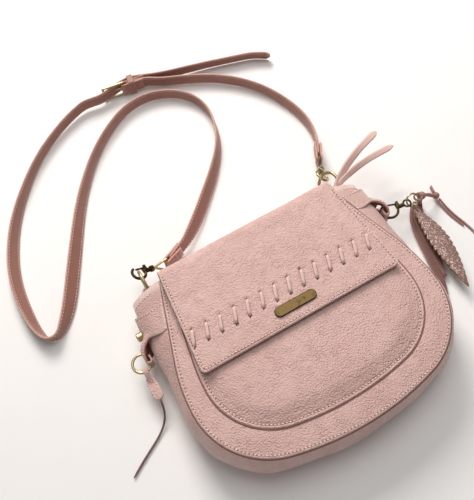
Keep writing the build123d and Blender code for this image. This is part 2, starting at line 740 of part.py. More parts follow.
def strap_keeper():
    """Leather loop that holds the strap's tail beside the buckle."""
    centre = BUCKLE_LENGTH / 2 + KEEPER_PLACE
    plane = Plane(origin=buckle_point(centre, 0), x_dir=buckle_point(1, 0) - buckle_point(0, 0),
                  z_dir=(0, 0, 1))
    low, high = -1.5 * STRAP_THICKNESS - 0.4, TAIL_OUT + STRAP_THICKNESS / 2 + 0.5
    half = STRAP_WIDTH / 2 + 0.5
    outer = slab((-KEEPER_WIDTH / 2, KEEPER_WIDTH / 2), (low - KEEPER_WALL, high + KEEPER_WALL),
                 (-half - KEEPER_WALL, half + KEEPER_WALL))
    inner = slab((-KEEPER_WIDTH, KEEPER_WIDTH), (low, high), (-half, half))
    return plane.location * (outer - inner)


# ---- Side wraps and charms ----------------------------------------------
def side_wrap(side, span, loop_level):
    """Leather band over the gusset, with a narrow loop standing off below it."""
    face = bag_volume(WRAP_THICKNESS) - bag_volume(0)
    reach = sorted((side * 60.0, side * (BULGE_HALF_WIDTH + 30)))
    depths = (MIDDLE - WRAP_DEPTH / 2, MIDDLE + WRAP_DEPTH / 2)
    band = face & slab(reach, span, depths)
    wall = BULGE_HALF_WIDTH + LOOP_ROOM
    outer = wall + LOOP_WALL
    low, high = CHARM_HEIGHT - LOOP_DEPTH / 2, CHARM_HEIGHT + LOOP_DEPTH / 2
    bottom, top = loop_level - LOOP_WIDTH / 2, loop_level + LOOP_WIDTH / 2
    strip = slab(sorted((side * wall, side * outer)), (bottom, top), (low, high))
    root = sorted((side * (BULGE_HALF_WIDTH - 14), side * outer))
    legs = [slab(root, (bottom, span[0] + 3), (z, z + LOOP_WALL)) for z in (low, high - LOOP_WALL)]
    return band + (strip + legs - bag_volume(0))


def side_stud():
    """Domed brass stud on the outside of the left wrap."""
    x = -BULGE_HALF_WIDTH - WRAP_THICKNESS
    y = WRAP_LEFT[0] + 10.0
    stud = rod((x + 3, y, MIDDLE), (x - STUD_HEIGHT, y, MIDDLE), STUD_DIAMETER / 2)
    stud = chamfer(stud.edges().sort_by(Axis.X)[0], 1.0)
    return stud - bag_volume(WRAP_THICKNESS)


def loop_grip(side):
    """Side of the loop's wall where a ring's wire passes, measured from the middle."""
    return side * (BULGE_HALF_WIDTH + LOOP_ROOM - 2.6)


def side_ring():
    """Ring in the left loop."""
    centre = (loop_grip(-1) - SIDE_RING_RADIUS, LOOP_LEFT, CHARM_HEIGHT)
    return ring(centre, (0, 0, 1), SIDE_RING_RADIUS, SIDE_RING_WIRE)


def side_pull():
    """Short leather pull with a loop round the left ring."""
    x = loop_grip(-1) - SIDE_RING_RADIUS
    y = LOOP_LEFT - SIDE_RING_RADIUS
    loop = ring((x, y - 1.1, CHARM_HEIGHT - 0.9), (1, 0, 0), 4.2, 1.1)
    tongue = slab((x - 4, x + 4), (y - 25, y - 4.6), (CHARM_HEIGHT - 6.4, CHARM_HEIGHT - 3.0))
    tongue = fillet(tongue.edges().filter_by(Axis.Z).group_by(Axis.Y)[0], 3.4)
    return loop + tongue


def left_lace_route():
    """Lace from the left pull down to the table and away from the bag."""
    x = loop_grip(-1) - SIDE_RING_RADIUS
    y = LOOP_LEFT - SIDE_RING_RADIUS - 25.6
    z = CHARM_HEIGHT - 4.7
    return [(x, y, z), (x - 1.0, y - 6, z - 3.5), (x - 3.5, y - 12, 6.2), (x - 8.5, y - 17.5, 2.4),
            (x - 16.5, y - 23.5, 1.3), (x - 26.5, y - 29, 1.2), (x - 38, y - 35.5, 1.1), (x - 48, y - 42, 1.2)]


def clasp_plane():
    """Plane of the clasp's bow, through the right loop."""
    return Plane(origin=(loop_grip(1) + CLASP_BOW, LOOP_RIGHT, CHARM_HEIGHT),
                 x_dir=(1, -0.1, 0), z_dir=(0, 0, 1))


def clasp_eye_centre():
    """Middle of the eye at the clasp's far end."""
    plane = clasp_plane()
    return plane.origin + plane.x_dir * (CLASP_BOW + 10.2)


def clasp():
    """Snap clasp that hooks the charm onto the right loop."""
    frame = clasp_plane().location * hook_frame(CLASP_BOW, CLASP_WIRE, 7.0)
    return frame + ring(clasp_eye_centre(), (0, 0, 1), 3.4, 0.9)


def clasp_gate():
    """Gate of the charm's clasp."""
    gate = hook_gate(CLASP_BOW, CLASP_WIRE) - gate_bore(CLASP_BOW, CLASP_WIRE)
    return clasp_plane().location * gate


def charm_ring_centre():
    """Middle of the ring that the charm's pieces hang on."""
    return clasp_eye_centre() + Vector(CHARM_RING_RADIUS, 0, 0)


def charm_ring():
    """Ring between the clasp and the charm, leaning towards the front."""
    return ring(charm_ring_centre(), (0, 1, -1), CHARM_RING_RADIUS, CHARM_RING_WIRE)


def feather_ring_centre():
    """Middle of the small ring in the feather's root."""
    low = charm_ring_centre() - Vector(0, 1, 1).normalized() * CHARM_RING_RADIUS
    return low - Vector(0, 0.85, 0.85)


def feather_ring():
    """Small ring that carries the feather."""
    return ring(feather_ring_centre(), (1, 0, 0), 3.3, 0.6)


def feather_sheet(inset, base, thickness):
    """Leaf outline with nicked edges, hung from the small ring."""
    centre = feather_ring_centre()
    root = Vector(centre.X, centre.Y + 0.3)
    half = FEATHER_WIDTH / 2 - inset
    length = FEATHER_LENGTH - inset
    shares = [(0.0, 0.30), (0.06, 0.36), (0.16, 0.62), (0.30, 0.92), (0.45, 1.0), (0.62, 0.86),
              (0.78, 0.58), (0.90, 0.30)]
    right = [(root.X + 3.0 * share + half * width, root.Y - length * share) for share, width in shares]
    left = [(root.X + 3.0 * share - half * width, root.Y - length * share) for share, width in shares]
    tip = (root.X + 3.0, root.Y - length)
    face = make_face(Polyline(*right, tip, *reversed(left), close=True))
    sheet = extrude(Pos(0, 0, base) * face, thickness)
    hole = rod((root.X, root.Y - 2.8, base - 1), (root.X, root.Y - 2.8, base + thickness + 1), 1.7)
    return sheet - hole


def feather_level():
    """Underside of the feather's leather, beside the small ring's middle."""
    return feather_ring_centre().Z - 1.8


def charm_knot_centre():
    """Middle of the upper leather knot."""
    return charm_ring_centre() + Vector(CHARM_RING_RADIUS + 5.0, 0.3, -2.0)


def charm_knots():
    """Leather loop on the charm's ring, two knots and the thong between them."""
    upper = charm_knot_centre()
    lower = lower_knot_centre()
    far = charm_ring_centre() + Vector(CHARM_RING_RADIUS, 0, 0)
    solid = ring(far + Vector(1.1, 0, 0), (0, 0, 1), 3.6, 1.0)
    solid += Sphere(4.0).moved(Location(upper))
    solid += Sphere(3.6).moved(Location(lower))
    solid += rod(tuple(upper), tuple(lower), 1.8)
    stem = rod((upper.X, upper.Y, STRIP_LEVEL), tuple(upper), 2.0)
    return solid + stem


STRIP_LEVEL = 5.0


def lower_knot_centre():
    """Middle of the lower leather knot, which rests near the table."""
    upper = charm_knot_centre()
    return Vector(upper.X + 17.5, upper.Y - 2.0, 5.0)


def charm_strips():
    """Two tapered leather strips that hang behind the feather."""
    upper = charm_knot_centre()
    root = (upper.X, upper.Y)
    wide = make_face(Polyline(
        (root[0] + 3, root[1] + 3), (root[0] - 12, root[1] + 3), (root[0] - 24, root[1] - 32),
        (root[0] - 36, root[1] - 84), (root[0] - 31, root[1] - 90), (root[0] - 12, root[1] - 34),
        close=True))
    slim = make_face(Polyline(
        (root[0] + 3, root[1] + 2), (root[0] - 10, root[1] + 1), (root[0] - 18, root[1] - 30),
        (root[0] - 27, root[1] - 72), (root[0] - 22, root[1] - 74), (root[0] - 8, root[1] - 30),
        close=True))
    lower = extrude(Pos(0, 0, STRIP_LEVEL - 2.6) * wide, 1.2)
    higher = extrude(Pos(0, 0, STRIP_LEVEL - 1.3) * slim, 1.2)
    return [lower, higher]


def charm_lace_route(spread, count):
    """One end of the doubled lace that leaves the lower knot."""
    knot = lower_knot_centre()
    points = [
        (knot.X + spread * 0.85, knot.Y - 3.6, 3.6),
        (knot.X + 0.8 + spread * 0.9, knot.Y - 9.5, 2.2),
        (knot.X + 1.4 + spread, knot.Y - 17.5, 1.4),
        (knot.X + 3.2 + spread, knot.Y - 27.0, 1.2),
        (knot.X + 5.8 + spread, knot.Y - 37.5, 1.1),
        (knot.X + 7.4 + spread, knot.Y - 48.5, 1.2),
        (knot.X + 7.0 + spread, knot.Y - 60.0, 1.1),
    ]
    return points[:count]


# ---- Assembly ------------------------------------------------------------
def build():
    """Make every node."""
    zip_teeth = []
    for name, sign in (("back", -1), ("front", 1)):
        facing, tape, teeth = zip_side(sign)
        parts[f"zip_facing_{name}"] = facing
        parts[f"zip_tape_{name}"] = tape
        zip_teeth.append(teeth)
    parts["zip_teeth"] = zip_teeth
    parts["back_panel"] = back_panel()
    parts["front_panel"] = front_panel()
    parts["gusset"] = gusset()
    parts["lining_back"] = lining(LEATHER)
    parts["lining_front"] = lining(FRONT_INNER - LINING)
    parts["inner_slip_pocket"] = slip_pocket()
    parts["front_pocket"] = front_pocket()
    parts["zip_end_stops"] = zip_stops()
    parts["zip_slider"] = zip_slider()
    parts["zip_pull_bail"] = zip_pull_bail()
    parts["zip_pull_thong"] = zip_pull_thong()
    parts["magnet_female"] = magnet_female()
    parts["magnet_male"] = magnet_male()
    parts["flap_top_leather"] = flap_top(0, LEATHER)
    parts["flap_top_lining"] = flap_top(-FLAP_LINING, FLAP_LINING)
    parts["flap_front_leather"] = flap_leather()
    parts["flap_front_lining"] = flap_sheet(FLAP_UNDER, FLAP_LINING, FLAP_TOP_EDGE, 1.0)
    parts["flap_lacing"] = flap_lacing()
    parts["flap_emblem"] = flap_emblem()
    for name, side, span, level in (("left", -1, WRAP_LEFT, LOOP_LEFT), ("right", 1, WRAP_RIGHT, LOOP_RIGHT)):
        parts[f"gusset_cap_{name}"] = gusset_cap(side)
        parts[f"ring_tab_{name}"] = ring_tab(side)
        parts[f"corner_ring_{name}"] = corner_ring(side)
        parts[f"hook_{name}"] = strap_hook(side)
        parts[f"hook_gate_{name}"] = strap_hook_gate(side)
        parts[f"hook_eye_{name}"] = hook_eye(side)
        parts[f"side_wrap_{name}"] = side_wrap(side, span, level)
    parts["side_stud"] = side_stud()
    parts["strap_long"] = strap_long()
    parts["strap_short"] = strap_short()
    parts["strap_fold_left"] = fold_round(strap_bar(-1), long_route()[1])
    parts["strap_fold_right"] = fold_round(strap_bar(1), short_route()[1])
    heel = buckle_point(BUCKLE_LENGTH / 2, 0)
    parts["strap_fold_buckle"] = fold_round(heel, heel + buckle_point(1, 0) - buckle_point(0, 0)) - prong_slot((0, BUCKLE_LENGTH / 2 + 4.2))
    parts["buckle_frame"] = buckle_frame()
    parts["buckle_prong"] = buckle_prong()
    parts["strap_keeper"] = strap_keeper()
    parts["side_ring"] = side_ring()
    parts["side_pull"] = side_pull()
    parts["side_lace"] = cord_tube("side_lace", left_lace_route(), LACE_RADIUS)
    parts["clasp"] = clasp()
    parts["clasp_gate"] = clasp_gate()
    parts["charm_ring"] = charm_ring()
    parts["charm_knots"] = charm_knots()
    parts["charm_strips"] = charm_strips()
    parts["charm_lace_long"] = cord_tube("charm_lace_long", charm_lace_route(1.4, 7), LACE_RADIUS)
    parts["charm_lace_short"] = cord_tube("charm_lace_short", charm_lace_route(-1.4, 5), LACE_RADIUS)
    parts["feather_ring"] = feather_ring()
    parts["feather_leather"] = feather_sheet(0, feather_level(), FEATHER_THICKNESS)
    parts["feather_backing"] = feather_sheet(0.4, feather_level() - 0.8, 0.8)


def write():
    """Write one STEP file for each node."""
    os.makedirs("parts", exist_ok=True)
    for name, shape in parts.items():
        if isinstance(shape, list):
            shape = Compound(children=shape)
        export_step(shape, f"parts/{name}.step")


build()
write()
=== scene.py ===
"""Saddle crossbody bag in pebbled blush leather, laid on its back with its strap spread out beside it."""

from __future__ import annotations

import logging
import math
from dataclasses import dataclass, field
from enum import Enum
from typing import Callable, Sequence

import bmesh
import bpy
import numpy as np
from mathutils import Matrix, Vector

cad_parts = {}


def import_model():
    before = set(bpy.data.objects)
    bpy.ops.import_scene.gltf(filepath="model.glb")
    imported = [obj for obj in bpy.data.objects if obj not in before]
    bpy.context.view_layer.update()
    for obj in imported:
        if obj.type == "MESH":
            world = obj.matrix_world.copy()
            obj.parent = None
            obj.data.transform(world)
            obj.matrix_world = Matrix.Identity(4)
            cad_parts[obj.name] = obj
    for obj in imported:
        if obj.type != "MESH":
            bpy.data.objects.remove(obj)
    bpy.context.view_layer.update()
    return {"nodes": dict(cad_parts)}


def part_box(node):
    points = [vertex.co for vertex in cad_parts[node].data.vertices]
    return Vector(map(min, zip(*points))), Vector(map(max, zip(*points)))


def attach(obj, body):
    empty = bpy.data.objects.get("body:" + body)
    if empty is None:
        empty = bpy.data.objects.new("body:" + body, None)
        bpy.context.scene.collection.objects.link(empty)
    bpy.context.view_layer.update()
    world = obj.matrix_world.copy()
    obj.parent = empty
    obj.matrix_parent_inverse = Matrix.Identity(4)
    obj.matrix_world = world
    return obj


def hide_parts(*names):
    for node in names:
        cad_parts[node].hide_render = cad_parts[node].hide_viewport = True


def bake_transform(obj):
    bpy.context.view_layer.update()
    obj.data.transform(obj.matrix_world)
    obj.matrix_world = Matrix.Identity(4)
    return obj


MM = 0.001
LOG = logging.getLogger("saddle_bag")


# ---- Colour and material nodes --------------------------------------------
def linear(code: str) -> tuple[float, float, float, float]:
    """Turn an sRGB hex colour into a linear one.

    Args:
        code: Colour such as "#d9b3ac".

    Returns:
        Red, green, blue and alpha, linear.
    """
    shares = [int(code[place : place + 2], 16) / 255 for place in (1, 3, 5)]
    red, green, blue = (
        share / 12.92 if share <= 0.04045 else ((share + 0.055) / 1.055) ** 2.4 for share in shares
    )
    return red, green, blue, 1.0


def add_node(
    tree: bpy.types.NodeTree,
    kind: str,
    settings: dict | None = None,
    links: dict | None = None,
) -> bpy.types.Node:
    """Add a node with its settings and links.

    Args:
        tree: Node tree that takes the node.
        kind: Blender's name of the node type.
        settings: Values by attribute, or by input name or number.
        links: Output sockets by input name or number.

    Returns:
        The new node.
    """
    node = tree.nodes.new(kind)
    for key, value in (settings or {}).items():
        if isinstance(key, str) and key not in node.inputs:
            setattr(node, key, value)
        else:
            node.inputs[key].default_value = value
    for key, socket in (links or {}).items():
        tree.links.new(socket, node.inputs[key])
    return node


def per_mm(size: float) -> float:
    """Texture scale whose features are this many millimetres wide."""
    return 1.0 / (size * MM)


@dataclass(frozen=True)
class Finish:
    """A real material's finish; each kind builds its own nodes."""

    name: str

    def dress(self, tree: bpy.types.NodeTree, surface: bpy.types.Node) -> None:
        """Add this finish's nodes to a Principled surface."""

    def material(self) -> bpy.types.Material:
        """Make the material once and return it.

        Returns:
            The material of this finish.
        """
        made = bpy.data.materials.get(self.name)
        if made is None:
            made = bpy.data.materials.new(self.name)
            made.use_nodes = True
            tree = made.node_tree
            self.dress(tree, tree.nodes["Principled BSDF"])
        return made


@dataclass(frozen=True)
class PebbledLeather(Finish):
    """Drummed leather: soft pebbles with painted shade in the creases between them, and paler on sharp convex edges."""

    base: str
    deep: str
    pale: str
    grain: float = 1.4
    depth: float = 0.6
    roughness: float = 0.52

    def dress(self, tree: bpy.types.NodeTree, surface: bpy.types.Node) -> None:
        """Add the grain, the blotches of colour, painted shade in the creases and the paler convex edges.

        Args:
            tree: The material's node tree.
            surface: Its Principled node.
        """
        place = add_node(tree, "ShaderNodeTexCoord").outputs["Object"]
        wander = add_node(tree, "ShaderNodeTexNoise", {"Scale": per_mm(self.grain * 3), "Detail": 2.0}, {"Vector": place})
        shifted = add_node(
            tree,
            "ShaderNodeVectorMath",
            {"operation": "MULTIPLY_ADD", 1: (0.6 * self.grain * MM,) * 3},
            {0: wander.outputs["Color"], 2: place},
        )
        pebble = add_node(
            tree,
            "ShaderNodeTexVoronoi",
            {"feature": "SMOOTH_F1", "Scale": per_mm(self.grain), "Smoothness": 0.5, "Randomness": 0.9},
            {"Vector": shifted.outputs[0]},
        )
        pores = add_node(tree, "ShaderNodeTexNoise", {"Scale": per_mm(0.5), "Detail": 3.0}, {"Vector": place})
        softness = add_node(tree, "ShaderNodeTexNoise", {"Scale": per_mm(9.0), "Detail": 4.0, "Roughness": 0.6}, {"Vector": place})
        blotch = add_node(tree, "ShaderNodeTexNoise", {"Scale": per_mm(38.0), "Detail": 4.0, "Distortion": 0.6}, {"Vector": place})
        # The drum leaves some areas tight and some heavily broken.
        amount = add_node(tree, "ShaderNodeMapRange", {1: 0.35, 2: 0.68, 3: 0.45, 4: 1.0}, {0: softness.outputs["Fac"]})
        crease = add_node(tree, "ShaderNodeMapRange", {1: 0.25, 2: 0.75}, {0: pebble.outputs["Distance"]})
        creased = add_node(tree, "ShaderNodeMath", {"operation": "MULTIPLY"}, {0: crease.outputs[0], 1: amount.outputs[0]})
        shade = add_node(tree, "ShaderNodeMapRange", {1: 0.32, 2: 0.70, 3: 0.0, 4: 0.26}, {0: blotch.outputs["Fac"]})
        body = add_node(
            tree,
            "ShaderNodeMix",
            {"data_type": "RGBA", 6: linear(self.base), 7: linear(self.deep)},
            {0: shade.outputs[0]},
        )
        # Painted shade: the creases between pebbles are darkened in the colour.
        line = add_node(tree, "ShaderNodeMath", {"operation": "MULTIPLY", 1: 0.34}, {0: creased.outputs[0]})
        crease_shaded = add_node(
            tree,
            "ShaderNodeMix",
            {"data_type": "RGBA", 7: linear(self.deep)},
            {0: line.outputs[0], 6: body.outputs[2]},
        )
        shape = add_node(tree, "ShaderNodeNewGeometry")
        # Paler colour on sharp convex edges, read from pointiness.
        convex_paling = add_node(tree, "ShaderNodeMapRange", {1: 0.515, 2: 0.58, 3: 0.0, 4: 0.7}, {0: shape.outputs["Pointiness"]})
        colour = add_node(
            tree,
            "ShaderNodeMix",
            {"data_type": "RGBA", 7: linear(self.pale)},
            {0: convex_paling.outputs[0], 6: crease_shaded.outputs[2]},
        )
        rough = add_node(
            tree,
            "ShaderNodeMapRange",
            {1: 0.0, 2: 1.0, 3: self.roughness - 0.07, 4: self.roughness + 0.14},
            {0: creased.outputs[0]},
        )
        ridge = add_node(tree, "ShaderNodeMath", {"operation": "MULTIPLY", 1: -1.0}, {0: creased.outputs[0]})
        grain = add_node(
            tree,
            "ShaderNodeMath",
            {"operation": "MULTIPLY_ADD", 1: 0.28},
            {0: pores.outputs["Fac"], 2: ridge.outputs[0]},
        )
        bump = add_node(
            tree,
            "ShaderNodeBump",
            {"Strength": 1.0, "Distance": self.depth * MM},
            {"Height": grain.outputs[0]},
        )
        tree.links.new(colour.outputs[2], surface.inputs["Base Color"])
        tree.links.new(rough.outputs[0], surface.inputs["Roughness"])
        tree.links.new(bump.outputs[0], surface.inputs["Normal"])
        surface.inputs["Sheen Weight"].default_value = 0.12
        surface.inputs["Sheen Roughness"].default_value = 0.5
        surface.inputs["Coat Weight"].default_value = 0.06
        surface.inputs["Coat Roughness"].default_value = 0.4


@dataclass(frozen=True)
class EdgePaint(Finish):
    """Sealed cut edge of leather: paler than the face, dull, with a trace of fibres; in dark colours it stands for
    painted shade in holes, seams and along edges.
    """

    base: str
    deep: str

    def dress(self, tree: bpy.types.NodeTree, surface: bpy.types.Node) -> None:
        """Add the uneven paint.

        Args:
            tree: The material's node tree.
            surface: Its Principled node.
        """
        place = add_node(tree, "ShaderNodeTexCoord").outputs["Object"]
        fibre = add_node(tree, "ShaderNodeTexNoise", {"Scale": per_mm(1.4), "Detail": 4.0}, {"Vector": place})
        share = add_node(tree, "ShaderNodeMapRange", {1: 0.35, 2: 0.7, 3: 0.0, 4: 0.8}, {0: fibre.outputs["Fac"]})
        colour = add_node(
            tree,
            "ShaderNodeMix",
            {"data_type": "RGBA", 6: linear(self.base), 7: linear(self.deep)},
            {0: share.outputs[0]},
        )
        bump = add_node(tree, "ShaderNodeBump", {"Strength": 0.5, "Distance": 0.12 * MM}, {"Height": fibre.outputs["Fac"]})
        tree.links.new(colour.outputs[2], surface.inputs["Base Color"])
        tree.links.new(bump.outputs[0], surface.inputs["Normal"])
        surface.inputs["Roughness"].default_value = 0.6


@dataclass(frozen=True)
class WovenCloth(Finish):
    """Plain woven polyester: fine crossing threads, matt, with dirt in the weave."""

    base: str
    deep: str
    thread: float = 0.9

    def dress(self, tree: bpy.types.NodeTree, surface: bpy.types.Node) -> None:
        """Add the weave, drawn coarser than real so that it shows.

        Args:
            tree: The material's node tree.
            surface: Its Principled node.
        """
        place = add_node(tree, "ShaderNodeTexCoord").outputs["Object"]
        warp = add_node(
            tree,
            "ShaderNodeTexWave",
            {"bands_direction": "X", "Scale": per_mm(self.thread * 20 / math.pi), "Distortion": 0.4, "Detail": 1.0},
            {"Vector": place},
        )
        weft = add_node(
            tree,
            "ShaderNodeTexWave",
            {"bands_direction": "DIAGONAL", "Scale": per_mm(self.thread * 20 / math.pi), "Distortion": 0.4, "Detail": 1.0},
            {"Vector": place},
        )
        weave = add_node(
            tree, "ShaderNodeMath", {"operation": "MAXIMUM"}, {0: warp.outputs["Fac"], 1: weft.outputs["Fac"]}
        )
        dirt = add_node(tree, "ShaderNodeTexNoise", {"Scale": per_mm(16.0), "Detail": 5.0}, {"Vector": place})
        share = add_node(
            tree, "ShaderNodeMath", {"operation": "MULTIPLY"}, {0: weave.outputs[0], 1: dirt.outputs["Fac"]}
        )
        colour = add_node(
            tree,
            "ShaderNodeMix",
            {"data_type": "RGBA", 6: linear(self.deep), 7: linear(self.base)},
            {0: share.outputs[0]},
        )
        bump = add_node(tree, "ShaderNodeBump", {"Strength": 0.6, "Distance": 0.15 * MM}, {"Height": weave.outputs[0]})
        tree.links.new(colour.outputs[2], surface.inputs["Base Color"])
        tree.links.new(bump.outputs[0], surface.inputs["Normal"])
        surface.inputs["Roughness"].default_value = 0.85
        surface.inputs["Sheen Weight"].default_value = 0.3


@dataclass(frozen=True)
class AntiqueBrass(Finish):
    """Plated zinc with an antique brass finish: rubbed gold on the crests and brown tarnish in the hollows."""

    base: str
    tarnish: str
    roughness: float = 0.34

    def dress(self, tree: bpy.types.NodeTree, surface: bpy.types.Node) -> None:
        """Add the tarnish, the rubbed crests and fine scratches.

        Args:
            tree: The material's node tree.
            surface: Its Principled node.
        """
        place = add_node(tree, "ShaderNodeTexCoord").outputs["Object"]
        patch = add_node(tree, "ShaderNodeTexNoise", {"Scale": per_mm(4.5), "Detail": 5.0, "Roughness": 0.65}, {"Vector": place})
        scratch = add_node(tree, "ShaderNodeTexNoise", {"Scale": per_mm(0.7), "Detail": 2.0, "Distortion": 2.0}, {"Vector": place})
        shape = add_node(tree, "ShaderNodeNewGeometry")
        crest = add_node(tree, "ShaderNodeMapRange", {1: 0.46, 2: 0.56, 3: 0.25, 4: -0.25}, {0: shape.outputs["Pointiness"]})
        mixed = add_node(tree, "ShaderNodeMath", {"operation": "ADD"}, {0: patch.outputs["Fac"], 1: crest.outputs[0]})
        share = add_node(tree, "ShaderNodeMapRange", {1: 0.36, 2: 0.72}, {0: mixed.outputs[0]})
        colour = add_node(
            tree,
            "ShaderNodeMix",
            {"data_type": "RGBA", 6: linear(self.base), 7: linear(self.tarnish)},
            {0: share.outputs[0]},
        )
        rough = add_node(
            tree,
            "ShaderNodeMapRange",
            {1: 0.0, 2: 1.0, 3: self.roughness - 0.08, 4: self.roughness + 0.24},
            {0: share.outputs[0]},
        )
        bump = add_node(tree, "ShaderNodeBump", {"Strength": 0.18, "Distance": 0.06 * MM}, {"Height": scratch.outputs["Fac"]})
        tree.links.new(colour.outputs[2], surface.inputs["Base Color"])
        tree.links.new(rough.outputs[0], surface.inputs["Roughness"])
        tree.links.new(bump.outputs[0], surface.inputs["Normal"])
        surface.inputs["Metallic"].default_value = 1.0


@dataclass(frozen=True)
class SpunThread(Finish):
    """Bonded sewing thread: twisted plies with a slight sheen."""

    base: str
    deep: str

    def dress(self, tree: bpy.types.NodeTree, surface: bpy.types.Node) -> None:
        """Add the twist, which crosses each stitch.

        Args:
            tree: The material's node tree.
            surface: Its Principled node.
        """
        place = add_node(tree, "ShaderNodeTexCoord").outputs["Object"]
        ply = add_node(
            tree,
            "ShaderNodeTexWave",
            {"bands_direction": "DIAGONAL", "Scale": per_mm(0.5 * 20 / math.pi), "Distortion": 1.0},
            {"Vector": place},
        )
        colour = add_node(
            tree,
            "ShaderNodeMix",
            {"data_type": "RGBA", 6: linear(self.deep), 7: linear(self.base)},
            {0: ply.outputs["Fac"]},
        )
        tree.links.new(colour.outputs[2], surface.inputs["Base Color"])
        surface.inputs["Roughness"].default_value = 0.5
        surface.inputs["Sheen Weight"].default_value = 0.4


@dataclass(frozen=True)
class GlitterLeather(Finish):
    """Leather with a glitter film: tiny flakes at random tilts, coloured pale pink and gold, partly their own tint and
    partly their flash as painted glint.
    """

    base: str
    flake: str
    size: float = 0.75

    def dress(self, tree: bpy.types.NodeTree, surface: bpy.types.Node) -> None:
        """Add the flakes, their flash painted into the colour as glints.

        Args:
            tree: The material's node tree.
            surface: Its Principled node.
        """
        place = add_node(tree, "ShaderNodeTexCoord").outputs["Object"]
        flakes = add_node(tree, "ShaderNodeTexVoronoi", {"Scale": per_mm(self.size)}, {"Vector": place})
        parts = add_node(tree, "ShaderNodeSeparateColor", None, {"Color": flakes.outputs["Color"]})
        # Painted glint: random flakes take the pale flake colour, partly their tint and partly their flash.
        glint_flakes = add_node(tree, "ShaderNodeMapRange", {1: 0.80, 2: 0.96}, {0: parts.outputs[0]})
        colour = add_node(
            tree,
            "ShaderNodeMix",
            {"data_type": "RGBA", 6: linear(self.base), 7: linear(self.flake)},
            {0: glint_flakes.outputs[0]},
        )
        metal = add_node(tree, "ShaderNodeMath", {"operation": "MULTIPLY", 1: 0.15}, {0: glint_flakes.outputs[0]})
        bump = add_node(tree, "ShaderNodeBump", {"Strength": 0.5, "Distance": 0.1 * MM}, {"Height": parts.outputs[1]})
        tree.links.new(colour.outputs[2], surface.inputs["Base Color"])
        tree.links.new(metal.outputs[0], surface.inputs["Metallic"])
        tree.links.new(bump.outputs[0], surface.inputs["Normal"])
        surface.inputs["Roughness"].default_value = 0.5


@dataclass(frozen=True)
class Backdrop(Finish):
    """Seamless paper: pale and matt with a faint tooth."""

    base: str
    deep: str

    def dress(self, tree: bpy.types.NodeTree, surface: bpy.types.Node) -> None:
        """Add the paper's tooth.

        Args:
            tree: The material's node tree.
            surface: Its Principled node.
        """
        place = add_node(tree, "ShaderNodeTexCoord").outputs["Object"]
        tooth = add_node(tree, "ShaderNodeTexNoise", {"Scale": per_mm(60.0), "Detail": 2.0}, {"Vector": place})
        colour = add_node(
            tree,
            "ShaderNodeMix",
            {"data_type": "RGBA", 6: linear(self.base), 7: linear(self.deep)},
            {0: tooth.outputs["Fac"]},
        )
        tree.links.new(colour.outputs[2], surface.inputs["Base Color"])
        surface.inputs["Roughness"].default_value = 0.9


BLUSH = PebbledLeather("blush_drummed_leather", "#dfbab2", "#bf8f85", "#efd6cf")
# The thong is the bag's own blush leather, coloured paler as painted highlight on its raised bars and tails.
THONG = PebbledLeather("blush_lacing_thong_painted_highlight", "#e2beb5", "#c2958a", "#ecd0c8", 0.9, 0.14)
# Painted shade: the strap is the bag's blush leather, coloured much darker for the shade on its upright faces.
SHADED_STRAP_LEATHER = PebbledLeather("blush_strap_leather_painted_shade", "#9c6a5c", "#7d5146", "#c4958a", 1.3, 0.22, 0.5)
MAUVE = PebbledLeather("mauve_suede", "#9c6f69", "#7c5650", "#b38680", 0.9, 0.16, 0.75)
BROWN_LACE = PebbledLeather("brown_waxed_lace", "#6b4a44", "#4a332f", "#8a645b", 0.8, 0.12, 0.5)
RAW_EDGE = EdgePaint("painted_leather_edge", "#d9ab9e", "#b98a7e")
# Painted shade: dark cups stand for the shade inside the punched lacing holes.
HOLE_SHADE = EdgePaint("punched_hole_painted_shade", "#5a3a33", "#38241f")
# Painted shade: the flap's and pocket's cut edges are coloured darker than the pale edge paint, for the shade along
# them.
EDGE_SHADE = EdgePaint("dark_edge_painted_shade", "#ab7b70", "#8d6055")
NEEDLE = EdgePaint("needle_hole_shade", "#8a5b50", "#70463c")
SEAM_SHADE = EdgePaint("shaded_seam_edge", "#8f6258", "#774e45")
THONG_SIDE = EdgePaint("shaded_thong_side", "#a87569", "#8c5c51")
STRIP = PebbledLeather("mauve_strip_suede", "#7d5751", "#60423e", "#97716b", 0.9, 0.16, 0.75)
THREAD = SpunThread("blush_bonded_thread", "#f8e4dd", "#e2bdb3")
BRASS = AntiqueBrass("antique_brass", "#94753c", "#33261a")
# Darker brass: tarnish, and painted shade on the left hook, its gate and the right hook eye, whose pairs are plain
# brass.
DARK_BRASS = AntiqueBrass("tarnished_and_shaded_brass", "#5f4d31", "#211a12", 0.42)
KHAKI = WovenCloth("khaki_lining_cloth", "#8f7f5e", "#5f5239")
TAPE = WovenCloth("zip_tape_cloth", "#6d5a44", "#43362a", 0.7)
GLITTER = GlitterLeather("rose_glitter_leather", "#886860", "#e6cbbf")
GOLD_FOIL = AntiqueBrass("gold_foil_backing", "#9c7d45", "#5a4426", 0.42)
PAPER = Backdrop("studio_paper", "#fcfbfa", "#f8f6f4")


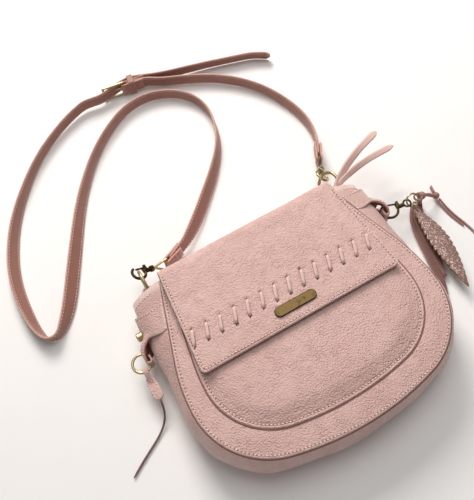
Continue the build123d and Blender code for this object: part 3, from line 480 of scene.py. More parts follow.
# ---- Meshes ----------------------------------------------------------------
class Shell:
    """Gathers lattices of points, in millimetres, into one mesh."""

    def __init__(self) -> None:
        """Start empty."""
        self.points: list[np.ndarray] = []
        self.faces: list[tuple[int, ...]] = []
        self.paints: list[int] = []
        self.count = 0

    def lattice(
        self,
        grid: np.ndarray,
        round_u: bool = False,
        round_v: bool = False,
        paint: int | Sequence[int] = 0,
        flip: bool = False,
        keep: np.ndarray | None = None,
    ) -> None:
        """Add a lattice of quads.

        Args:
            grid: Points as rows by columns by three.
            round_u: Whether the last row joins the first.
            round_v: Whether the last column joins the first.
            paint: Material number, or one for each column of quads.
            flip: Whether the faces look the other way.
            keep: Which quads are made; all if left out.
        """
        rows, columns = grid.shape[:2]
        base = self.count
        self.points.append(grid.reshape(-1, 3))
        self.count += rows * columns
        for row in range(rows if round_u else rows - 1):
            below = (row + 1) % rows
            for column in range(columns if round_v else columns - 1):
                beside = (column + 1) % columns
                if keep is not None and not keep[row, column]:
                    continue
                face = (
                    base + row * columns + column,
                    base + row * columns + beside,
                    base + below * columns + beside,
                    base + below * columns + column,
                )
                self.faces.append(face[::-1] if flip else face)
                self.paints.append(paint if isinstance(paint, int) else paint[column])

    def cap(self, ring: np.ndarray, paint: int = 0, flip: bool = False) -> None:
        """Close a ring of points with a fan round its middle.

        Args:
            ring: Points in order round the ring.
            paint: Material number.
            flip: Whether the faces look the other way.
        """
        base = self.count
        self.points.append(np.vstack([ring, ring.mean(axis=0, keepdims=True)]))
        size = len(ring)
        self.count += size + 1
        for index in range(size):
            face = (base + index, base + (index + 1) % size, base + size)
            self.faces.append(face[::-1] if flip else face)
            self.paints.append(paint)

    def tube(
        self,
        path: np.ndarray,
        section: np.ndarray,
        side: np.ndarray,
        up: np.ndarray,
        paint: int | Sequence[int] = 0,
        cap_paint: int = 0,
        swell: np.ndarray | None = None,
    ) -> None:
        """Sweep a closed section along a path and close both ends.

        Args:
            path: Points of the path.
            section: Closed section as offsets along side and up.
            side: Side vector at each point.
            up: Up vector at each point.
            paint: Material number, or one for each side of the section.
            cap_paint: Material number of the two ends.
            swell: Scale of the section at each point.
        """
        scale = np.ones(len(path)) if swell is None else swell
        grid = (
            path[:, None, :]
            + scale[:, None, None] * section[None, :, 0:1] * side[:, None, :]
            + scale[:, None, None] * section[None, :, 1:2] * up[:, None, :]
        )
        self.lattice(grid, round_v=True, paint=paint)
        self.cap(grid[0], cap_paint)
        self.cap(grid[-1], cap_paint, flip=True)

    def build(self, name: str, finishes: Sequence[Finish], flat: bool = False) -> bpy.types.Object:
        """Make the object.

        Args:
            name: The piece's name.
            finishes: One finish for each material number.
            flat: Whether the faces stay flat shaded.

        Returns:
            The linked object.
        """
        mesh = bpy.data.meshes.new(name)
        points = np.vstack(self.points) * MM
        mesh.from_pydata(points.tolist(), [], self.faces)
        mesh.polygons.foreach_set("material_index", self.paints)
        mesh.polygons.foreach_set("use_smooth", [not flat] * len(self.faces))
        for finish in finishes:
            mesh.materials.append(finish.material())
        mesh.update()
        piece = bpy.data.objects.new(name, mesh)
        bpy.context.scene.collection.objects.link(piece)
        weld(piece)
        return piece


def settle(piece: bpy.types.Object) -> bpy.types.Object:
    """Apply a piece's modifiers to its mesh.

    Args:
        piece: The piece.

    Returns:
        The same piece, without modifiers.
    """
    graph = bpy.context.evaluated_depsgraph_get()
    made = bpy.data.meshes.new_from_object(piece.evaluated_get(graph))
    piece.modifiers.clear()
    old, piece.data = piece.data, made
    bpy.data.meshes.remove(old)
    return piece


def weld(piece: bpy.types.Object) -> bpy.types.Object:
    """Join points that meet and make the normals look outwards.

    Args:
        piece: The piece.

    Returns:
        The same piece.
    """
    body = bmesh.new()
    body.from_mesh(piece.data)
    bmesh.ops.remove_doubles(body, verts=body.verts, dist=0.004 * MM)
    bmesh.ops.dissolve_degenerate(body, edges=body.edges, dist=0.002 * MM)
    bmesh.ops.recalc_face_normals(body, faces=body.faces)
    body.to_mesh(piece.data)
    body.free()
    return piece


def thicken(piece: bpy.types.Object, thickness: float, inward: bool = True) -> bpy.types.Object:
    """Give an open skin its thickness, with material 1 on the cut edge and 2 inside.

    Args:
        piece: The skin.
        thickness: Thickness in millimetres.
        inward: Whether it grows against its normals.

    Returns:
        The same piece.
    """
    solid = piece.modifiers.new("thickness", "SOLIDIFY")
    solid.thickness = thickness * MM
    solid.offset = -1.0 if inward else 1.0
    solid.use_even_offset = True
    solid.material_offset_rim = 1
    solid.material_offset = 2
    return settle(piece)


def arc_steps(path: np.ndarray) -> np.ndarray:
    """Distance of each point from the start, along the path."""
    return np.concatenate([[0.0], np.cumsum(np.linalg.norm(np.diff(path, axis=0), axis=1))])


def along(path: np.ndarray, places: np.ndarray, values: np.ndarray | None = None) -> np.ndarray:
    """Values carried by a path at distances along it.

    Args:
        path: The path's points.
        places: Distances from its start.
        values: What the points carry; the points themselves if left out.

    Returns:
        One row for each distance.
    """
    carried = path if values is None else values
    steps = arc_steps(path)
    return np.stack([np.interp(places, steps, carried[:, axis]) for axis in range(carried.shape[1])], axis=1)


def unit(vectors: np.ndarray) -> np.ndarray:
    """Vectors scaled to length one."""
    return vectors / np.maximum(np.linalg.norm(vectors, axis=-1, keepdims=True), 1e-9)


def tangents(path: np.ndarray) -> np.ndarray:
    """Direction of the path at each point."""
    return unit(np.gradient(path, axis=0))


def spline(name: str, points: Sequence[Sequence[float]], resolution: int = 10) -> np.ndarray:
    """Read the points of a smooth NURBS line.

    Args:
        name: Name of the curve while it exists.
        points: Control points in millimetres.
        resolution: Points for each control point.

    Returns:
        The line's points in millimetres.
    """
    curve = bpy.data.curves.new(name, "CURVE")
    curve.dimensions = "3D"
    line = curve.splines.new("NURBS")
    line.points.add(len(points) - 1)
    for target, point in zip(line.points, points):
        target.co = (*[value * MM for value in point], 1.0)
    line.order_u = 3
    line.use_endpoint_u = True
    line.resolution_u = resolution
    holder = bpy.data.objects.new(name, curve)
    bpy.context.scene.collection.objects.link(holder)
    bpy.context.view_layer.update()
    mesh = bpy.data.meshes.new_from_object(holder)
    read = np.array([vertex.co for vertex in mesh.vertices], float).reshape(-1, 3) / MM
    bpy.data.objects.remove(holder)
    bpy.data.curves.remove(curve)
    bpy.data.meshes.remove(mesh)
    return read


def circle(radius: float, sides: int = 12) -> np.ndarray:
    """Closed round section."""
    angles = np.linspace(0, 2 * math.pi, sides, endpoint=False)
    return np.stack([radius * np.cos(angles), radius * np.sin(angles)], axis=1)


def oval(width: float, height: float, sides: int = 12, square: float = 0.6) -> np.ndarray:
    """Closed section between an ellipse and a rectangle."""
    angles = np.linspace(0, 2 * math.pi, sides, endpoint=False)
    bend = np.stack([np.cos(angles), np.sin(angles)], axis=1)
    bend = np.sign(bend) * np.abs(bend) ** square
    return bend * np.array([width / 2, height / 2])


def carried_frames(path: np.ndarray, first: Sequence[float]) -> tuple[np.ndarray, np.ndarray]:
    """Side and up vectors carried along a path without twisting.

    Args:
        path: The path's points.
        first: A vector near the first side vector.

    Returns:
        The side vectors and the up vectors.
    """
    heading = tangents(path)
    sides = []
    side = np.array(first, float)
    for way in heading:
        side = unit(side - way * side.dot(way))
        sides.append(side)
    side_rows = np.array(sides)
    return side_rows, np.cross(heading, side_rows)


def smooth(value: np.ndarray | float, low: float, high: float) -> np.ndarray:
    """Rise smoothly from 0 at low to 1 at high."""
    share = np.clip((np.asarray(value, float) - low) / (high - low), 0, 1)
    return share * share * (3 - 2 * share)


def soft_noise(points: np.ndarray, size: float, seed: float = 0.0) -> np.ndarray:
    """Smooth random height between about -1 and 1 at each point.

    Args:
        points: Points in millimetres, with any number of leading axes.
        size: Width of a hump in millimetres.
        seed: Shift that gives another pattern.

    Returns:
        One height for each point.
    """
    place = points / size * 2 * math.pi
    x, y, z = place[..., 0], place[..., 1], place[..., 2]
    total = np.sin(0.62 * x + 0.41 * y + 1.3 * seed) + np.sin(-0.37 * x + 0.71 * y + 0.33 * z + 2.1 * seed + 1.0)
    total = total + 0.6 * np.sin(1.23 * x + 0.27 * z + 0.7 * seed) * np.sin(1.07 * y - 0.31 * x + seed + 2.0)
    return total / 2.6


@dataclass
class Stitching:
    """A row of saddle stitches in the leather."""

    pitch: float = 2.95
    length: float = 2.05
    radius: float = 0.58

    def row(self, shell: Shell, path: np.ndarray, normals: np.ndarray, paint: int = 0, hole: int | None = None) -> None:
        """Add the stitches of a row to a shell.

        Args:
            shell: The shell that takes them.
            path: The row's points on the leather.
            normals: Direction out of the leather at each point.
            paint: Material number of the thread.
            hole: Material number of the painted shade in the needle holes between stitches; none if left out.
        """
        total = arc_steps(path)[-1]
        number = max(1, int(total / self.pitch))
        places = (np.arange(number) + 0.5) * total / number
        centres = along(path, places)
        ways = unit(along(path, places, tangents(path)))
        ups = unit(along(path, places, normals))
        sides = unit(np.cross(ups, ways))
        shares = np.linspace(-1, 1, 5)
        ring = circle(1.0, 6)
        for centre, way, up, side in zip(centres, ways, ups, sides):
            core = centre + np.outer(shares * self.length / 2, way)
            core = core + np.outer(0.18 - 0.55 * shares**2, up) * self.radius
            girth = self.radius * np.array([0.45, 0.92, 1.0, 0.92, 0.45])
            grid = (
                core[:, None, :]
                + girth[:, None, None] * ring[None, :, 0:1] * side
                + girth[:, None, None] * ring[None, :, 1:2] * up
            )
            shell.lattice(grid, round_v=True, paint=paint)
            shell.cap(grid[0], paint)
            shell.cap(grid[-1], paint, flip=True)
            # Painted shade: a dark pit in each needle hole between stitches.
            if hole is not None:
                pit = centre + way * total / number / 2 + up * 0.06
                rim = pit + (0.5 * ring[:, 0:1] * way + 0.5 * ring[:, 1:2] * side)
                shell.lattice(np.array([rim - 0.3 * up, rim]), round_v=True, paint=hole)
                shell.cap(rim, hole)


def place(
    piece: bpy.types.Object, body: str, slot: str | None = None, nodes: Sequence[str] = ()
) -> bpy.types.Object:
    """Ride a piece on a body and hide the nodes that it stands for.

    Args:
        piece: The piece.
        body: The body's name.
        slot: The record's material slot; not used.
        nodes: Nodes that the piece replaces.

    Returns:
        The same piece.
    """
    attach(piece, body)
    if nodes:
        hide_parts(*nodes)
    LOG.info("%s rides on %s with %d faces", piece.name, body, len(piece.data.polygons))
    return piece


# ---- The bag's outlines -----------------------------------------------------
@dataclass(frozen=True)
class SaddleOutline:
    """Half round outline with leaning sides, as cut for the panels."""

    half_width: float
    taper: float
    bottom: float
    corner: float
    bottom_radius: float = 247.0
    side_radius: float = 150.0

    def half(self, top: float, grow: float) -> np.ndarray:
        """Right half of the outline.

        Args:
            top: Level of the rim.
            grow: How far the outline is grown outwards.

        Returns:
            Points from the rim down to the middle of the bottom.
        """
        corner_x = self.half_width - self.corner
        centre_y = self.bottom_radius - self.bottom
        drop = math.sqrt((self.bottom_radius - self.corner) ** 2 - corner_x**2)
        corner_y = centre_y - drop
        side_x = self.half_width - self.side_radius
        lean = math.radians(self.taper)

        def arc(centre: tuple[float, float], radius: float, start: float, end: float, count: int) -> np.ndarray:
            """Points of an arc without its first one."""
            angles = np.linspace(start, end, count + 1)[1:]
            return np.stack([centre[0] + radius * np.cos(angles), centre[1] + radius * np.sin(angles)], axis=1)

        shoulder = np.array(
            [side_x + (self.side_radius + grow) * math.cos(lean), corner_y + (self.side_radius + grow) * math.sin(lean)]
        )
        end = np.array([shoulder[0] - (top - shoulder[1]) * math.tan(lean), top])
        shares = np.linspace(0, 1, 13)[:, None]
        side = arc((side_x, corner_y), self.side_radius + grow, lean, 0.0, 12)
        low = math.atan2(-drop, corner_x)
        turn = arc((corner_x, corner_y), self.corner + grow, 0.0, low, 26)
        base = arc((0.0, centre_y), self.bottom_radius + grow, low, -math.pi / 2, 16)
        return np.vstack([end + shares * (shoulder - end), side, turn, base])

    def rim(self, top: float, grow: float = 0.0) -> np.ndarray:
        """Outline from the right end of the rim round the bottom to the left end."""
        right = self.half(top, grow)
        left = right[-2::-1] * np.array([-1.0, 1.0])
        return np.vstack([right, left])


PANEL = SaddleOutline(113.0, 17.0, 100.0, 66.0)
BULGE = SaddleOutline(119.0, 2.5, 103.0, 66.0)
POCKET = SaddleOutline(95.5, 10.0, 78.5, 56.0)

DishHeight = Callable[[np.ndarray, np.ndarray], np.ndarray]


def dish(
    shell: Shell, outline: SaddleOutline, top: float, insets: Sequence[float], height: DishHeight, columns: int = 60
) -> None:
    """Skin over a saddle outline, in rings near its edge and rows inside them.

    Args:
        shell: The shell that takes the skin.
        outline: The outline.
        top: Level of the straight edge.
        insets: Distance of each ring from the edge.
        height: Level from the points in plan and their distance from the edge.
        columns: Columns of the inner rows.
    """
    rings = np.stack([outline.rim(top, -inset) for inset in insets])
    depth = np.broadcast_to(np.array(insets, float)[:, None], rings.shape[:2])
    shell.lattice(np.dstack([rings, height(rings, depth)]))
    last = rings[-1]
    half = len(last) // 2
    left, right = last[: half + 1], last[::-1][: half + 1]
    shares = np.linspace(0, 1, columns)[None, :, None]
    inner = left[:, None, :] + shares * (right - left)[:, None, :]
    reach = np.minimum(shares[..., 0], 1 - shares[..., 0]) * np.linalg.norm(right - left, axis=1)[:, None]
    shell.lattice(np.dstack([inner, height(inner, insets[-1] + reach)]))


# ---- Strap ------------------------------------------------------------------
# Control points: x, y, height of the middle, and lean in degrees to the left of the way.
LONG_ROUTE = (
    (-64.3, 118.4, 9.5, 0), (-48.0, 124.5, 9.5, 12), (-28, 139, 8.6, 36), (-5, 161, 7.2, 38), (20, 186, 7.2, 28),
    (37, 210, 7.4, 14), (45.5, 235, 7.3, 4), (46.5, 257, 7.3, 0), (37, 278, 7.3, 0), (19, 293, 7.3, 0),
    (-4, 299.5, 7.3, 0), (-28, 295.5, 7.3, -4), (-53, 281.5, 7.3, -8), (-76, 262, 7.3, -14), (-96, 239.5, 7.2, -20),
    (-112.5, 216, 7.0, -28), (-129, 188, 6.6, -38), (-146, 157.5, 6.4, -46), (-161, 131, 6.4, -44),
    (-174, 113, 6.9, -24), (-184, 104, 7.3, 0), (-193.5, 107, 7.3, 14), (-198, 121, 6.9, 28), (-199.5, 144, 6.5, 38),
    (-197.5, 171, 6.6, 38), (-191, 197.5, 6.7, 34), (-179.5, 223.5, 6.9, 26), (-164, 247.5, 7.2, 16),
    (-145.5, 270, 7.3, 8), (-125, 290, 7.3, 2), (-101.5, 306.5, 7.6, 0), (-79, 317.5, 8.4, 0), (-61, 323, 9.2, 0),
    (-52.3, 321.6, 9.5, 0), (-39.1, 319.9, 9.5, 0), (-13.6, 326.4, 9.5, 0), (-0.4, 324.3, 9.5, 0),
    (22, 315, 8.9, -4), (49, 309, 7.8, -10), (76, 302, 7.3, -14), (103, 293.5, 7.3, -16), (122, 287.5, 7.3, -16),
    (136, 277, 7.3, -14),
)
SHORT_ROUTE = (
    (110.3, 141.7, 9.5, 0), (116.5, 153.5, 9.5, 0), (121.5, 168, 8.8, -4), (123.5, 185, 7.8, -8), (121.5, 204, 7.3, -8),
    (115.5, 225, 7.3, -4), (105.5, 246, 7.3, 0), (91, 265.5, 7.3, 0), (70, 283.5, 7.3, 0), (46, 297, 7.5, 0),
    (21, 307.5, 8.6, 0), (6.7, 317.4, 9.5, 0), (-11.5, 320.0, 9.5, 0),
)


@dataclass
class StrapBand:
    """One length of the strap: folded leather, stitched along both edges, lying on its edge."""

    name: str
    route: Sequence[tuple[float, float, float, float]]
    length: float
    width: float = 14.0
    thickness: float = 2.2
    seam: float = 5.2
    rounded: bool = False
    line: np.ndarray = field(init=False)
    lean: np.ndarray = field(init=False)

    def __post_init__(self) -> None:
        """Read the line and the lean that goes with each of its points."""
        self.line = spline(f"{self.name}_route", [point[:3] for point in self.route])
        self.lean = spline(f"{self.name}_lean", [(point[3], 0.0, 0.0) for point in self.route])[:, 0]

    def frames(self) -> tuple[np.ndarray, np.ndarray]:
        """Directions across the band's thickness and along its width.

        Returns:
            The two directions at each point of the line.
        """
        way = tangents(self.line)
        level = unit(np.stack([-way[:, 1], way[:, 0], np.zeros(len(way))], axis=1))
        lean = np.radians(self.lean)[:, None]
        width = np.cos(lean) * np.array([0.0, 0.0, 1.0]) + np.sin(lean) * level
        return unit(np.cross(width, way)), width

    def section(self) -> tuple[np.ndarray, list[int]]:
        """Folded band in section, with its faces pinched at the stitches.

        Returns:
            The section's points, and the material number of each of its sides.
        """
        half, thick, seam = self.width / 2, self.thickness / 2, self.seam
        face = [(-half + 0.55, 0.82), (-seam - 0.7, 1.0), (-seam, 0.84), (-seam + 0.8, 1.02), (-2.0, 1.1), (2.0, 1.1)]
        face += [(seam - 0.8, 1.02), (seam, 0.84), (seam + 0.7, 1.0), (half - 0.55, 0.82)]
        front = [(share * thick, level) for level, share in face]
        top = [(0.42 * thick, half), (-0.42 * thick, half)]
        back = [(-share * thick, level) for level, share in reversed(face)]
        low = [(-0.42 * thick, -half), (0.42 * thick, -half)]
        points = np.array(front + top + back + low)
        paints = [0] * (len(front) - 1) + [1] * 3 + [0] * (len(back) - 1) + [1] * 3
        return points, paints

    def make(self, far_end: str, with_pieces: Sequence[object], nodes: Sequence[str]) -> bpy.types.Object:
        """Args:
            far_end: What is on its far end; not used.
            with_pieces: The separate pieces on it; not used.
            nodes: Nodes that it replaces.

        Returns:
            The band.
        """
        across, width = self.frames()
        section, paints = self.section()
        ripple = soft_noise(self.line, 46.0, 2.0)[:, None] * 0.25
        shell = Shell()
        tip = np.ones(len(self.line))
        if self.rounded:
            steps = arc_steps(self.line)
            away = steps[-1] - steps
            tip = np.sqrt(np.clip(1 - (1 - np.clip(away / 6.0, 0, 1)) ** 2, 0.05, 1))
        grid = (
            (self.line + across * ripple)[:, None, :]
            + section[None, :, 0:1] * across[:, None, :]
            + section[None, :, 1:2] * width[:, None, :] * tip[:, None, None]
        )
        shell.lattice(grid, round_v=True, paint=paints)
        shell.cap(grid[0], 1)
        shell.cap(grid[-1], 1, flip=True)
        band = shell.build(self.name, (SHADED_STRAP_LEATHER, RAW_EDGE))
        sewn = Shell()
        steps = arc_steps(self.line)
        kept = (steps > 4.0) & (steps < steps[-1] - 4.0)
        stitches = Stitching(3.3, 2.3, 0.34)
        for edge in (-1, 1):
            for face in (-1, 1):
                row = self.line + across * (ripple + face * self.thickness * 0.43) + width * edge * self.seam
                stitches.row(sewn, row[kept], across[kept] * face)
        seams = place(sewn.build(f"{self.name}_stitches", (THREAD,)), "root", "strap_leather")
        place(band, "root", "strap_leather", nodes)
        [tuple(point * MM) for point in self.line]
        return band


@dataclass
class StrapFold:
    """Strap end folded round an upright bar and sewn through."""

    name: str
    bar: tuple[float, float]
    heading: float
    leg: float
    flare: float = 0.0
    width: float = 13.8
    thickness: float = 1.9
    level: float = 9.5

    def make(self) -> bpy.types.Object:
        """Build the fold.

        Returns:
            The fold.
        """
        way = np.array([math.cos(math.radians(self.heading)), math.sin(math.radians(self.heading)), 0.0])
        side = np.array([-way[1], way[0], 0.0])
        bar = np.array([*self.bar, self.level])
        gap = 2.2
        out = [(gap + self.flare * share**2, self.leg * share) for share in (1.0, 0.85, 0.65, 0.45, 0.25, 0.1)]
        outline = [(across, forward) for across, forward in out]
        outline += [(gap * math.cos(angle), -gap * math.sin(angle)) for angle in np.linspace(0, math.pi, 11)]
        outline += [(-gap, self.leg * share) for share in (0.1, 0.3, 0.5, 0.75, 0.9)]
        path = np.array([bar + side * across + way * forward for across, forward in outline])
        up = np.tile(np.array([0.0, 0.0, 1.0]), (len(path), 1))
        across = unit(np.cross(up, tangents(path)))
        half, thick = self.width / 2, self.thickness / 2
        section = np.array(
            [(thick, -half + 0.4), (thick, 0.0), (thick, half - 0.4), (thick * 0.4, half), (-thick * 0.4, half)]
            + [(-thick, half - 0.4), (-thick, 0.0), (-thick, -half + 0.4), (-thick * 0.4, -half), (thick * 0.4, -half)]
        )
        paints = [0, 0, 1, 1, 1, 0, 0, 1, 1, 1]
        shell = Shell()
        shell.tube(path, section, across, up, paints, 1)
        stitches = Stitching(2.6, 1.9, 0.36)
        for sign, reach in ((1, self.leg * 0.55), (-1, self.leg * 0.5)):
            outer = bar + side * sign * (gap + self.flare * 0.3 * (sign > 0) + thick * 0.95) + way * reach
            row = outer + np.outer(np.linspace(-half + 1.5, half - 1.5, 8), (0, 0, 1.0))
            stitches.row(shell, row, np.tile(side * sign, (8, 1)), 2)
        return shell.build(self.name, (SHADED_STRAP_LEATHER, RAW_EDGE, THREAD))


@dataclass
class Keeper:
    """Leather loop round the strap beside the buckle."""

    centre: tuple[float, float] = (-6.7, 319.3)
    heading: float = -8.0
    low: float = -3.7
    high: float = 7.4
    half: float = 7.5
    width: float = 6.4
    wall: float = 1.3
    level: float = 9.5

    def make(self) -> bpy.types.Object:
        """Build the loop.

        Returns:
            The loop.
        """
        way = np.array([math.cos(math.radians(self.heading)), math.sin(math.radians(self.heading)), 0.0])
        side = np.array([-way[1], way[0], 0.0])
        middle, reach = (self.low + self.high) / 2, (self.high - self.low) / 2
        wall = self.wall / 2
        ring = oval(2 * (reach + wall), 2 * (self.half + wall), 28, 0.34) + np.array([middle, 0.0])
        centre = np.array([*self.centre, self.level])
        path = centre + np.outer(ring[:, 0], side) + np.outer(ring[:, 1], (0, 0, 1.0))
        outward = unit(path - (centre + side * middle))
        section = oval(self.width, self.wall, 10, 0.4)
        grid = path[:, None, :] + section[None, :, 0:1] * way + section[None, :, 1:2] * outward[:, None, :]
        shell = Shell()
        shell.lattice(grid, round_u=True, round_v=True)
        return shell.build("strap_keeper_loop", (SHADED_STRAP_LEATHER,))


class Strap:
    """The crossbody strap in two lengths, with its folded ends and keeper."""

    def make(self, hardware: dict[str, bpy.types.Object]) -> None:
        """Build every piece of the strap.

        Args:
            hardware: CAD nodes by name.
        """
        left = place(StrapFold("strap_end_left", (-67.7, 117.2), 20.4, 19.0, 1.2).make(), "root", "strap_leather", ["strap_fold_left"])
        right = place(StrapFold("strap_end_right", (108.6, 138.5), 62.2, 17.0, 0.8).make(), "root", "strap_leather", ["strap_fold_right"])
        heel = place(StrapFold("strap_end_buckle", (-15.1, 320.5), -8.0, 23.0, 0.0, 13.8, 1.5).make(), "root", "strap_leather", ["strap_fold_buckle"])
        keeper = place(Keeper().make(), "keeper", "strap_leather", ["strap_keeper"])
        StrapBand("strap_long_band", LONG_ROUTE, 1024.7, rounded=True).make("bare", [left], ["strap_long"])
        StrapBand("strap_short_band", SHORT_ROUTE, 251.6).make(
            "fitting", [right, heel, keeper, hardware["buckle_frame"], hardware["buckle_prong"]], ["strap_short"]
        )


# ---- Bag body -----------------------------------------------------------------
@dataclass
class BagBody:
    """Back, gusset and front of the bag, with their sewn edges and the lining inside."""

    depth: float = 50.0
    leather: float = 2.2
    gusset_wall: float = 2.0
    rim_front: float = 84.0
    rim_back: float = 90.0
    rim_gusset: float = 87.6

    def gusset_rows(self, top: float, levels: np.ndarray, grow: float = 0.0) -> np.ndarray:
        """Rows of the gusset's outer face, one for each level through the bag's depth.

        Args:
            top: Level where the gusset is cut.
            levels: Heights above the table.
            grow: How far the face is grown outwards.

        Returns:
            Rows of points round the bag.
        """
        flat, full = PANEL.rim(top, grow), BULGE.rim(top, grow)
        rows = []
        for level in levels:
            share = np.clip((level - 1.0) / (self.depth - 2.0), 0, 1)
            bulge = math.sin(math.pi * share) ** 0.85
            plan = flat + (full - flat) * bulge
            row = np.column_stack([plan, np.full(len(plan), level)])
            out = unit(np.gradient(plan, axis=0) @ np.array([[0.0, -1.0], [1.0, 0.0]]))
            sag = soft_noise(row, 34.0, 1.0) * 0.9 + soft_noise(row, 15.0, 3.0) * 0.25
            push = (sag - 0.9) * bulge * smooth(top - plan[:, 1], 2.0, 14.0)
            row[:, :2] -= out * push[:, None] * -1.0
            rows.append(row)
        return np.array(rows)

    def gusset(self) -> None:
        """Build the band round the sides and the bottom, its edges turned in along both seams."""
        levels = np.concatenate([[1.0, 1.6, 2.4, 3.6], np.linspace(5.2, 44.8, 22), [46.4, 47.6, 48.4, 49.0]])
        grid = self.gusset_rows(self.rim_gusset, levels)
        centre = np.array([0.0, 0.0])
        for index, turned in ((0, 1.4), (1, 0.6), (-1, 1.4), (-2, 0.6)):
            plan = grid[index][:, :2]
            inward = unit(centre - plan)
            grid[index][:, :2] = plan + inward * turned
        shell = Shell()
        shell.lattice(grid)
        skin = thicken(shell.build("gusset_band", (BLUSH, RAW_EDGE, KHAKI)), self.gusset_wall)
        place(skin, "root", "blush_leather", ["gusset"])

    def front_height(self, plan: np.ndarray, depth: np.ndarray) -> np.ndarray:
        """Level of the front panel's face: its edge rolls down to the seam, and the middle is slightly full."""
        roll = 1.9 * (1 - smooth(depth, 0.0, 1.8)) ** 2
        groove = 0.4 * np.exp(-(((depth - 2.6) / 0.7) ** 2))
        flat = np.dstack([plan, np.zeros(plan.shape[:2])])
        full = 1.1 * smooth(depth, 3.0, 14.0) * (0.75 + 0.35 * soft_noise(flat, 60.0, 4.0))
        calm = 1 - 0.8 * smooth(plan[..., 1], 20.0, 44.0)
        return self.depth - roll - groove + full * calm + 0.12 * soft_noise(flat, 12.0, 5.0) * smooth(depth, 4.0, 12.0)

    def back_height(self, plan: np.ndarray, depth: np.ndarray) -> np.ndarray:
        """Level of the back panel's face, which rests on the table and is rolled up at its edge."""
        return 1.6 * (1 - smooth(depth, 0.0, 2.4)) ** 2 + 0.25 * np.exp(-(((depth - 3.2) / 0.7) ** 2))

    def panels(self) -> None:
        """Build the front and the back leather."""
        insets = (0.0, 0.5, 1.0, 1.5, 2.1, 2.7, 3.2, 3.7, 4.3, 5.2, 6.5, 8.5, 11.0, 14.0, 18.0, 23.0, 29.0, 36.0, 44.0)
        for name, height, top, node in (
            ("front_panel_leather", self.front_height, self.rim_front, "front_panel"),
            ("back_panel_leather", self.back_height, self.rim_back, "back_panel"),
        ):
            shell = Shell()
            dish(shell, PANEL, top, insets, height, 70)
            skin = shell.build(name, (BLUSH, RAW_EDGE, BLUSH))
            upward = skin.data.polygons[len(skin.data.polygons) // 2].normal.z > 0
            thicken(skin, self.leather, inward=upward == (node == "front_panel"))
            place(skin, "root", "blush_leather", [node])

    def seams(self) -> None:
        """Sew both panels to the gusset and lay a dark tube into each seam as painted shadow."""
        shell = Shell()
        stitches = Stitching()
        for level, top, sign, seat in ((self.depth, self.rim_front, 1, -0.15), (0.0, self.rim_back, -1, 0.45)):
            rim = PANEL.rim(top - 2.0, -2.6)
            row = np.column_stack([rim, np.full(len(rim), level + seat)])
            stitches.row(shell, row, np.tile((0.0, 0.0, float(sign)), (len(row), 1)), 0, 2)
        # A dark tube along each seam is the painted shadow line there.
        for level, top in ((47.9, 84.0), (2.0, 87.0)):
            rim = PANEL.rim(top, -0.35)
            row = np.column_stack([rim, np.full(len(rim), level)])
            sides, ups = carried_frames(row, (0, 0, 1))
            shell.tube(row, circle(0.95, 8), sides, ups, 1, 1)
        place(shell.build("panel_seams", (THREAD, SEAM_SHADE, NEEDLE)), "root", "blush_leather")

    def rim_stitches(self) -> None:
        """Sew the gusset's upper edge on both sides."""
        shell = Shell()
        stitches = Stitching(3.0, 2.2, 0.4)
        levels = np.linspace(6.0, 44.0, 24)
        grid = self.gusset_rows(82.0, levels, 0.15)
        for column in (0, -1):
            row = grid[:, column, :]
            stitches.row(shell, row, np.tile((1.0 if column == 0 else -1.0, 0.0, 0.1), (len(row), 1)), 0, 1)
        place(shell.build("gusset_rim_stitches", (THREAD, NEEDLE)), "root", "blush_leather")

    def lining(self) -> None:
        """Build the lining's two sheets and the slip pocket on the back one."""
        insets = (2.2, 3.4, 6.0, 10.0, 16.0, 24.0, 34.0, 44.0)
        for name, level, node, sign in (
            ("lining_back_cloth", 3.0, "lining_back", 1.0),
            ("lining_front_cloth", 47.0, "lining_front", -1.0),
        ):
            shell = Shell()

            def height(plan: np.ndarray, depth: np.ndarray, level: float = level, sign: float = sign) -> np.ndarray:
                """Level of the cloth, slack between its sewn edges."""
                flat = np.dstack([plan, np.zeros(plan.shape[:2])])
                slack = 0.35 + 0.35 * soft_noise(flat, 40.0, 6.0 + sign)
                return level + sign * slack * smooth(depth, 3.0, 18.0)

            dish(shell, PANEL, 80.5, insets, height, 40)
            skin = shell.build(name, (KHAKI, KHAKI, KHAKI))
            solid = skin.modifiers.new("thickness", "SOLIDIFY")
            solid.thickness = 0.5 * MM
            solid.offset = 0.0
            place(settle(skin), "root", "khaki_lining", [node])
        self.slip_pocket()

    def slip_pocket(self) -> None:
        """Build the open pocket on the back lining, its mouth bound."""
        shell = Shell()
        across = np.linspace(-60.0, 60.0, 41)
        up = np.concatenate([[-40.0, -39.4, -38.2, -36.0], np.linspace(-33.0, 38.0, 22), [39.2, 40.0]])
        x, y = np.meshgrid(across, up)
        edge = np.minimum(60.0 - np.abs(x), y + 40.0)
        flat = np.dstack([x, y, np.zeros_like(x)])
        z = 4.1 + 4.3 * smooth(edge, 0.5, 12.0) * (0.88 + 0.12 * soft_noise(flat, 30.0, 9.0))
        shell.lattice(np.dstack([x, y, z]))
        skin = shell.build("slip_pocket_cloth", (KHAKI, KHAKI, KHAKI))
        solid = skin.modifiers.new("thickness", "SOLIDIFY")
        solid.thickness = 0.6 * MM
        solid.offset = 0.0
        settle(skin)
        place(skin, "root", "khaki_lining", ["inner_slip_pocket"])
        trim = Shell()
        row = np.column_stack([across, np.full(41, 40.0), z[-1]])
        sides, ups = carried_frames(row, (0, 0, 1))
        trim.tube(row, oval(1.6, 1.6, 8), sides, ups)
        place(trim.build("slip_pocket_binding", (TAPE,)), "root", "zip_tape")

    def make(self) -> None:
        """Build every piece of the body."""
        self.gusset()
        self.panels()
        self.seams()
        self.rim_stitches()
        self.lining()


